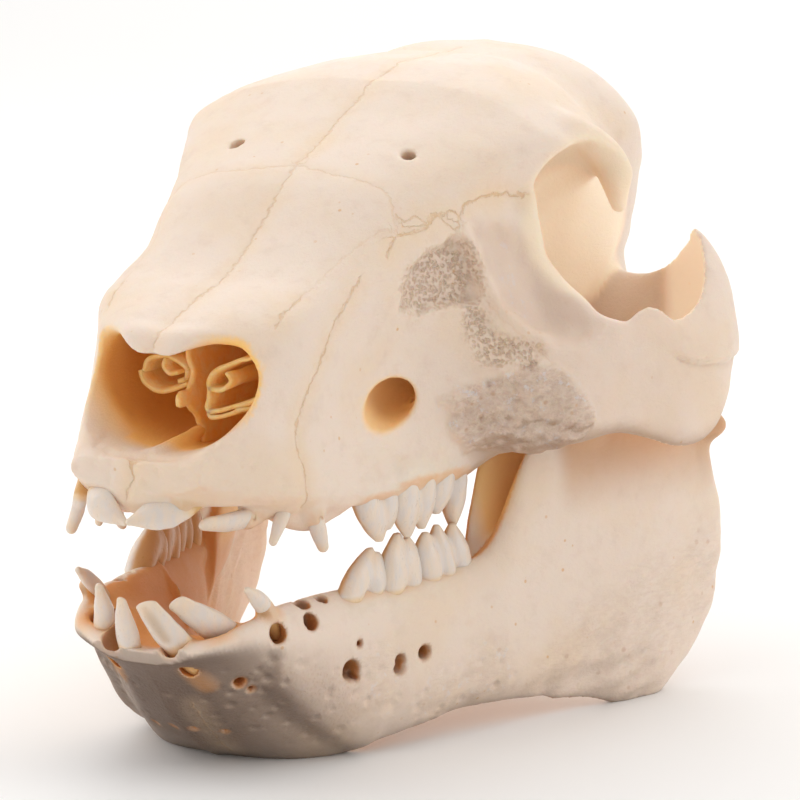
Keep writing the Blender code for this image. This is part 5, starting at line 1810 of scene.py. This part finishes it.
@dataclass(frozen=True)
class PlateFinish:
    """Very thin bone that light shines through, painted amber all over and given a faint painted glow."""

    name: str
    # painted amber, standing in for light through the thin plates and bounced in the nose
    light: Colour = (0.98, 0.68, 0.34, 1.0)
    dark: Colour = (0.96, 0.56, 0.20, 1.0)

    def material(self) -> bpy.types.Material:
        """Builds the node material.

        Returns:
            The material.
        """
        n = Nodes(self.name)
        cloud = n.noise(2.6, 4.0, 0.6)
        n.put(n.shader.inputs["Base Color"], n.mix(n.ramp(cloud, 0.35, 0.65), self.light, self.dark))
        n.put(n.shader.inputs["Normal"], n.bump(n.noise(0.7, 4.0, 0.7), 0.12))
        n.put(n.shader.inputs["Roughness"], n.ramp(cloud, 0.3, 0.7, 0.3, 0.55))
        # painted glow: the plates give off a faint orange light
        n.shader.inputs["Emission Color"].default_value = (1.0, 0.42, 0.08, 1.0)
        n.shader.inputs["Emission Strength"].default_value = 0.03
        n.shader.inputs["Subsurface Weight"].default_value = 0.6
        n.shader.inputs["Subsurface Radius"].default_value = (1.0, 0.5, 0.15)
        n.shader.inputs["Subsurface Scale"].default_value = 2.0 * MM
        return n.material


@dataclass(frozen=True)
class Lamp:
    """A soft square light that looks at the skull: where it hangs, how wide it is, and its watts."""

    name: str
    place: tuple
    size: float
    power: float

    def hang(self) -> None:
        """Puts the light into the scene."""
        light = bpy.data.lights.new(self.name, "AREA")
        light.size, light.energy = self.size, self.power
        aimed(bpy.data.objects.new(self.name, light), self.place, MIDDLE)


MIDDLE = (0.0, 0.0, 0.05)
LAMPS = (
    Lamp("overhead", (0.0, 0.0, 1.0), 1.5, 4.4),
    Lamp("backdrop", (-0.4, 1.4, 1.1), 1.8, 14.0),
    Lamp("right", (0.85, 0.35, 0.4), 0.6, 2.3),
    Lamp("left", (-0.6, 0.0, 0.4), 0.6, 1.6),
    Lamp("front", (-0.3, -0.8, 0.35), 0.6, 1.1),
)
SKY, SKY_STRENGTH = (1.0, 0.985, 0.965, 1.0), 0.48
FLOOR_COLOUR, FLOOR_HALF = (0.93, 0.92, 0.91, 1.0), 3.0
CAMERA_PLACE, CAMERA_AIM = (0.358083, -0.630489, 0.175600), (0.0, 0.01551, 0.045363)
SENSOR_WIDTH, LENS = 36.0, 212.6


def aimed(made: bpy.types.Object, place: tuple, aim: tuple) -> bpy.types.Object:
    """Puts a light or a camera into the scene at a place, looking at another.

    Args:
        made: the light's or camera's object.
        place: where it stands.
        aim: where it looks.

    Returns:
        The same object.
    """
    made.location = place
    made.rotation_mode = "QUATERNION"
    made.rotation_quaternion = (Vector(aim) - Vector(place)).to_track_quat("-Z", "Y")
    bpy.context.scene.collection.objects.link(made)
    return made


def studio() -> None:
    """Lays the pale floor, hangs the lights, and stands the camera where the photograph was taken."""
    world = bpy.data.worlds.new("studio")
    world.use_nodes = True
    sky = world.node_tree.nodes["Background"]
    sky.inputs["Color"].default_value = SKY
    sky.inputs["Strength"].default_value = SKY_STRENGTH
    bpy.context.scene.world = world
    floor = bpy.data.meshes.new("floor")
    bm = bmesh.new()
    bmesh.ops.create_grid(bm, x_segments=1, y_segments=1, size=FLOOR_HALF)
    bm.to_mesh(floor)
    bm.free()
    ground = link("floor", floor)
    paint = bpy.data.materials.new("pale floor")
    paint.use_nodes = True
    shader = paint.node_tree.nodes["Principled BSDF"]
    shader.inputs["Base Color"].default_value = FLOOR_COLOUR
    shader.inputs["Roughness"].default_value = 0.9
    floor.materials.append(paint)
    for lamp in LAMPS:
        lamp.hang()
    data = bpy.data.cameras.new("camera")
    data.sensor_width, data.lens = SENSOR_WIDTH, LENS
    camera = bpy.data.objects.new("camera", data)
    bpy.context.scene.camera = aimed(camera, CAMERA_PLACE, CAMERA_AIM)
    bpy.context.scene.view_settings.view_transform = "Standard"


def main() -> None:
    """Builds the whole skull and its studio."""
    logging.basicConfig(level=logging.INFO, format="%(message)s")
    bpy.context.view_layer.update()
    enamel = ToothFinish("milk tooth enamel").material()
    teeth = all_teeth()
    for tooth in teeth:
        for side in Side:
            made = tooth.build(side, enamel)
            log.info("%s: %d faces", made.name, len(made.data.polygons))
    bones = (
        Cranium(Jaw.UPPER, [t for t in teeth if t.jaw is Jaw.UPPER], CRANIUM_SEAMS, CRANIUM_CANALS,
                Clay((0, -3, 34), (54, 136, 106), BONE_STEP), BoneFinish("cranium bone")),
        Mandible(Jaw.LOWER, [t for t in teeth if t.jaw is Jaw.LOWER], MANDIBLE_SEAMS, MANDIBLE_CANALS,
                 Clay((0, -3, -3), (52, 118, 66), BONE_STEP), BoneFinish("mandible bone"), socket_stain_and_shade_reach=1.6),
    )
    for bone in bones:
        made = bone.build()
        log.info("%s: %d faces", made.name, len(made.data.polygons))
    thin = PlateFinish("thin bone").material()
    for made in (septum(thin), *(concha.build(thin) for concha in CONCHAE)):
        log.info("%s: %d faces", made.name, len(made.data.polygons))
    studio()


if __name__ == "__main__":
    main()
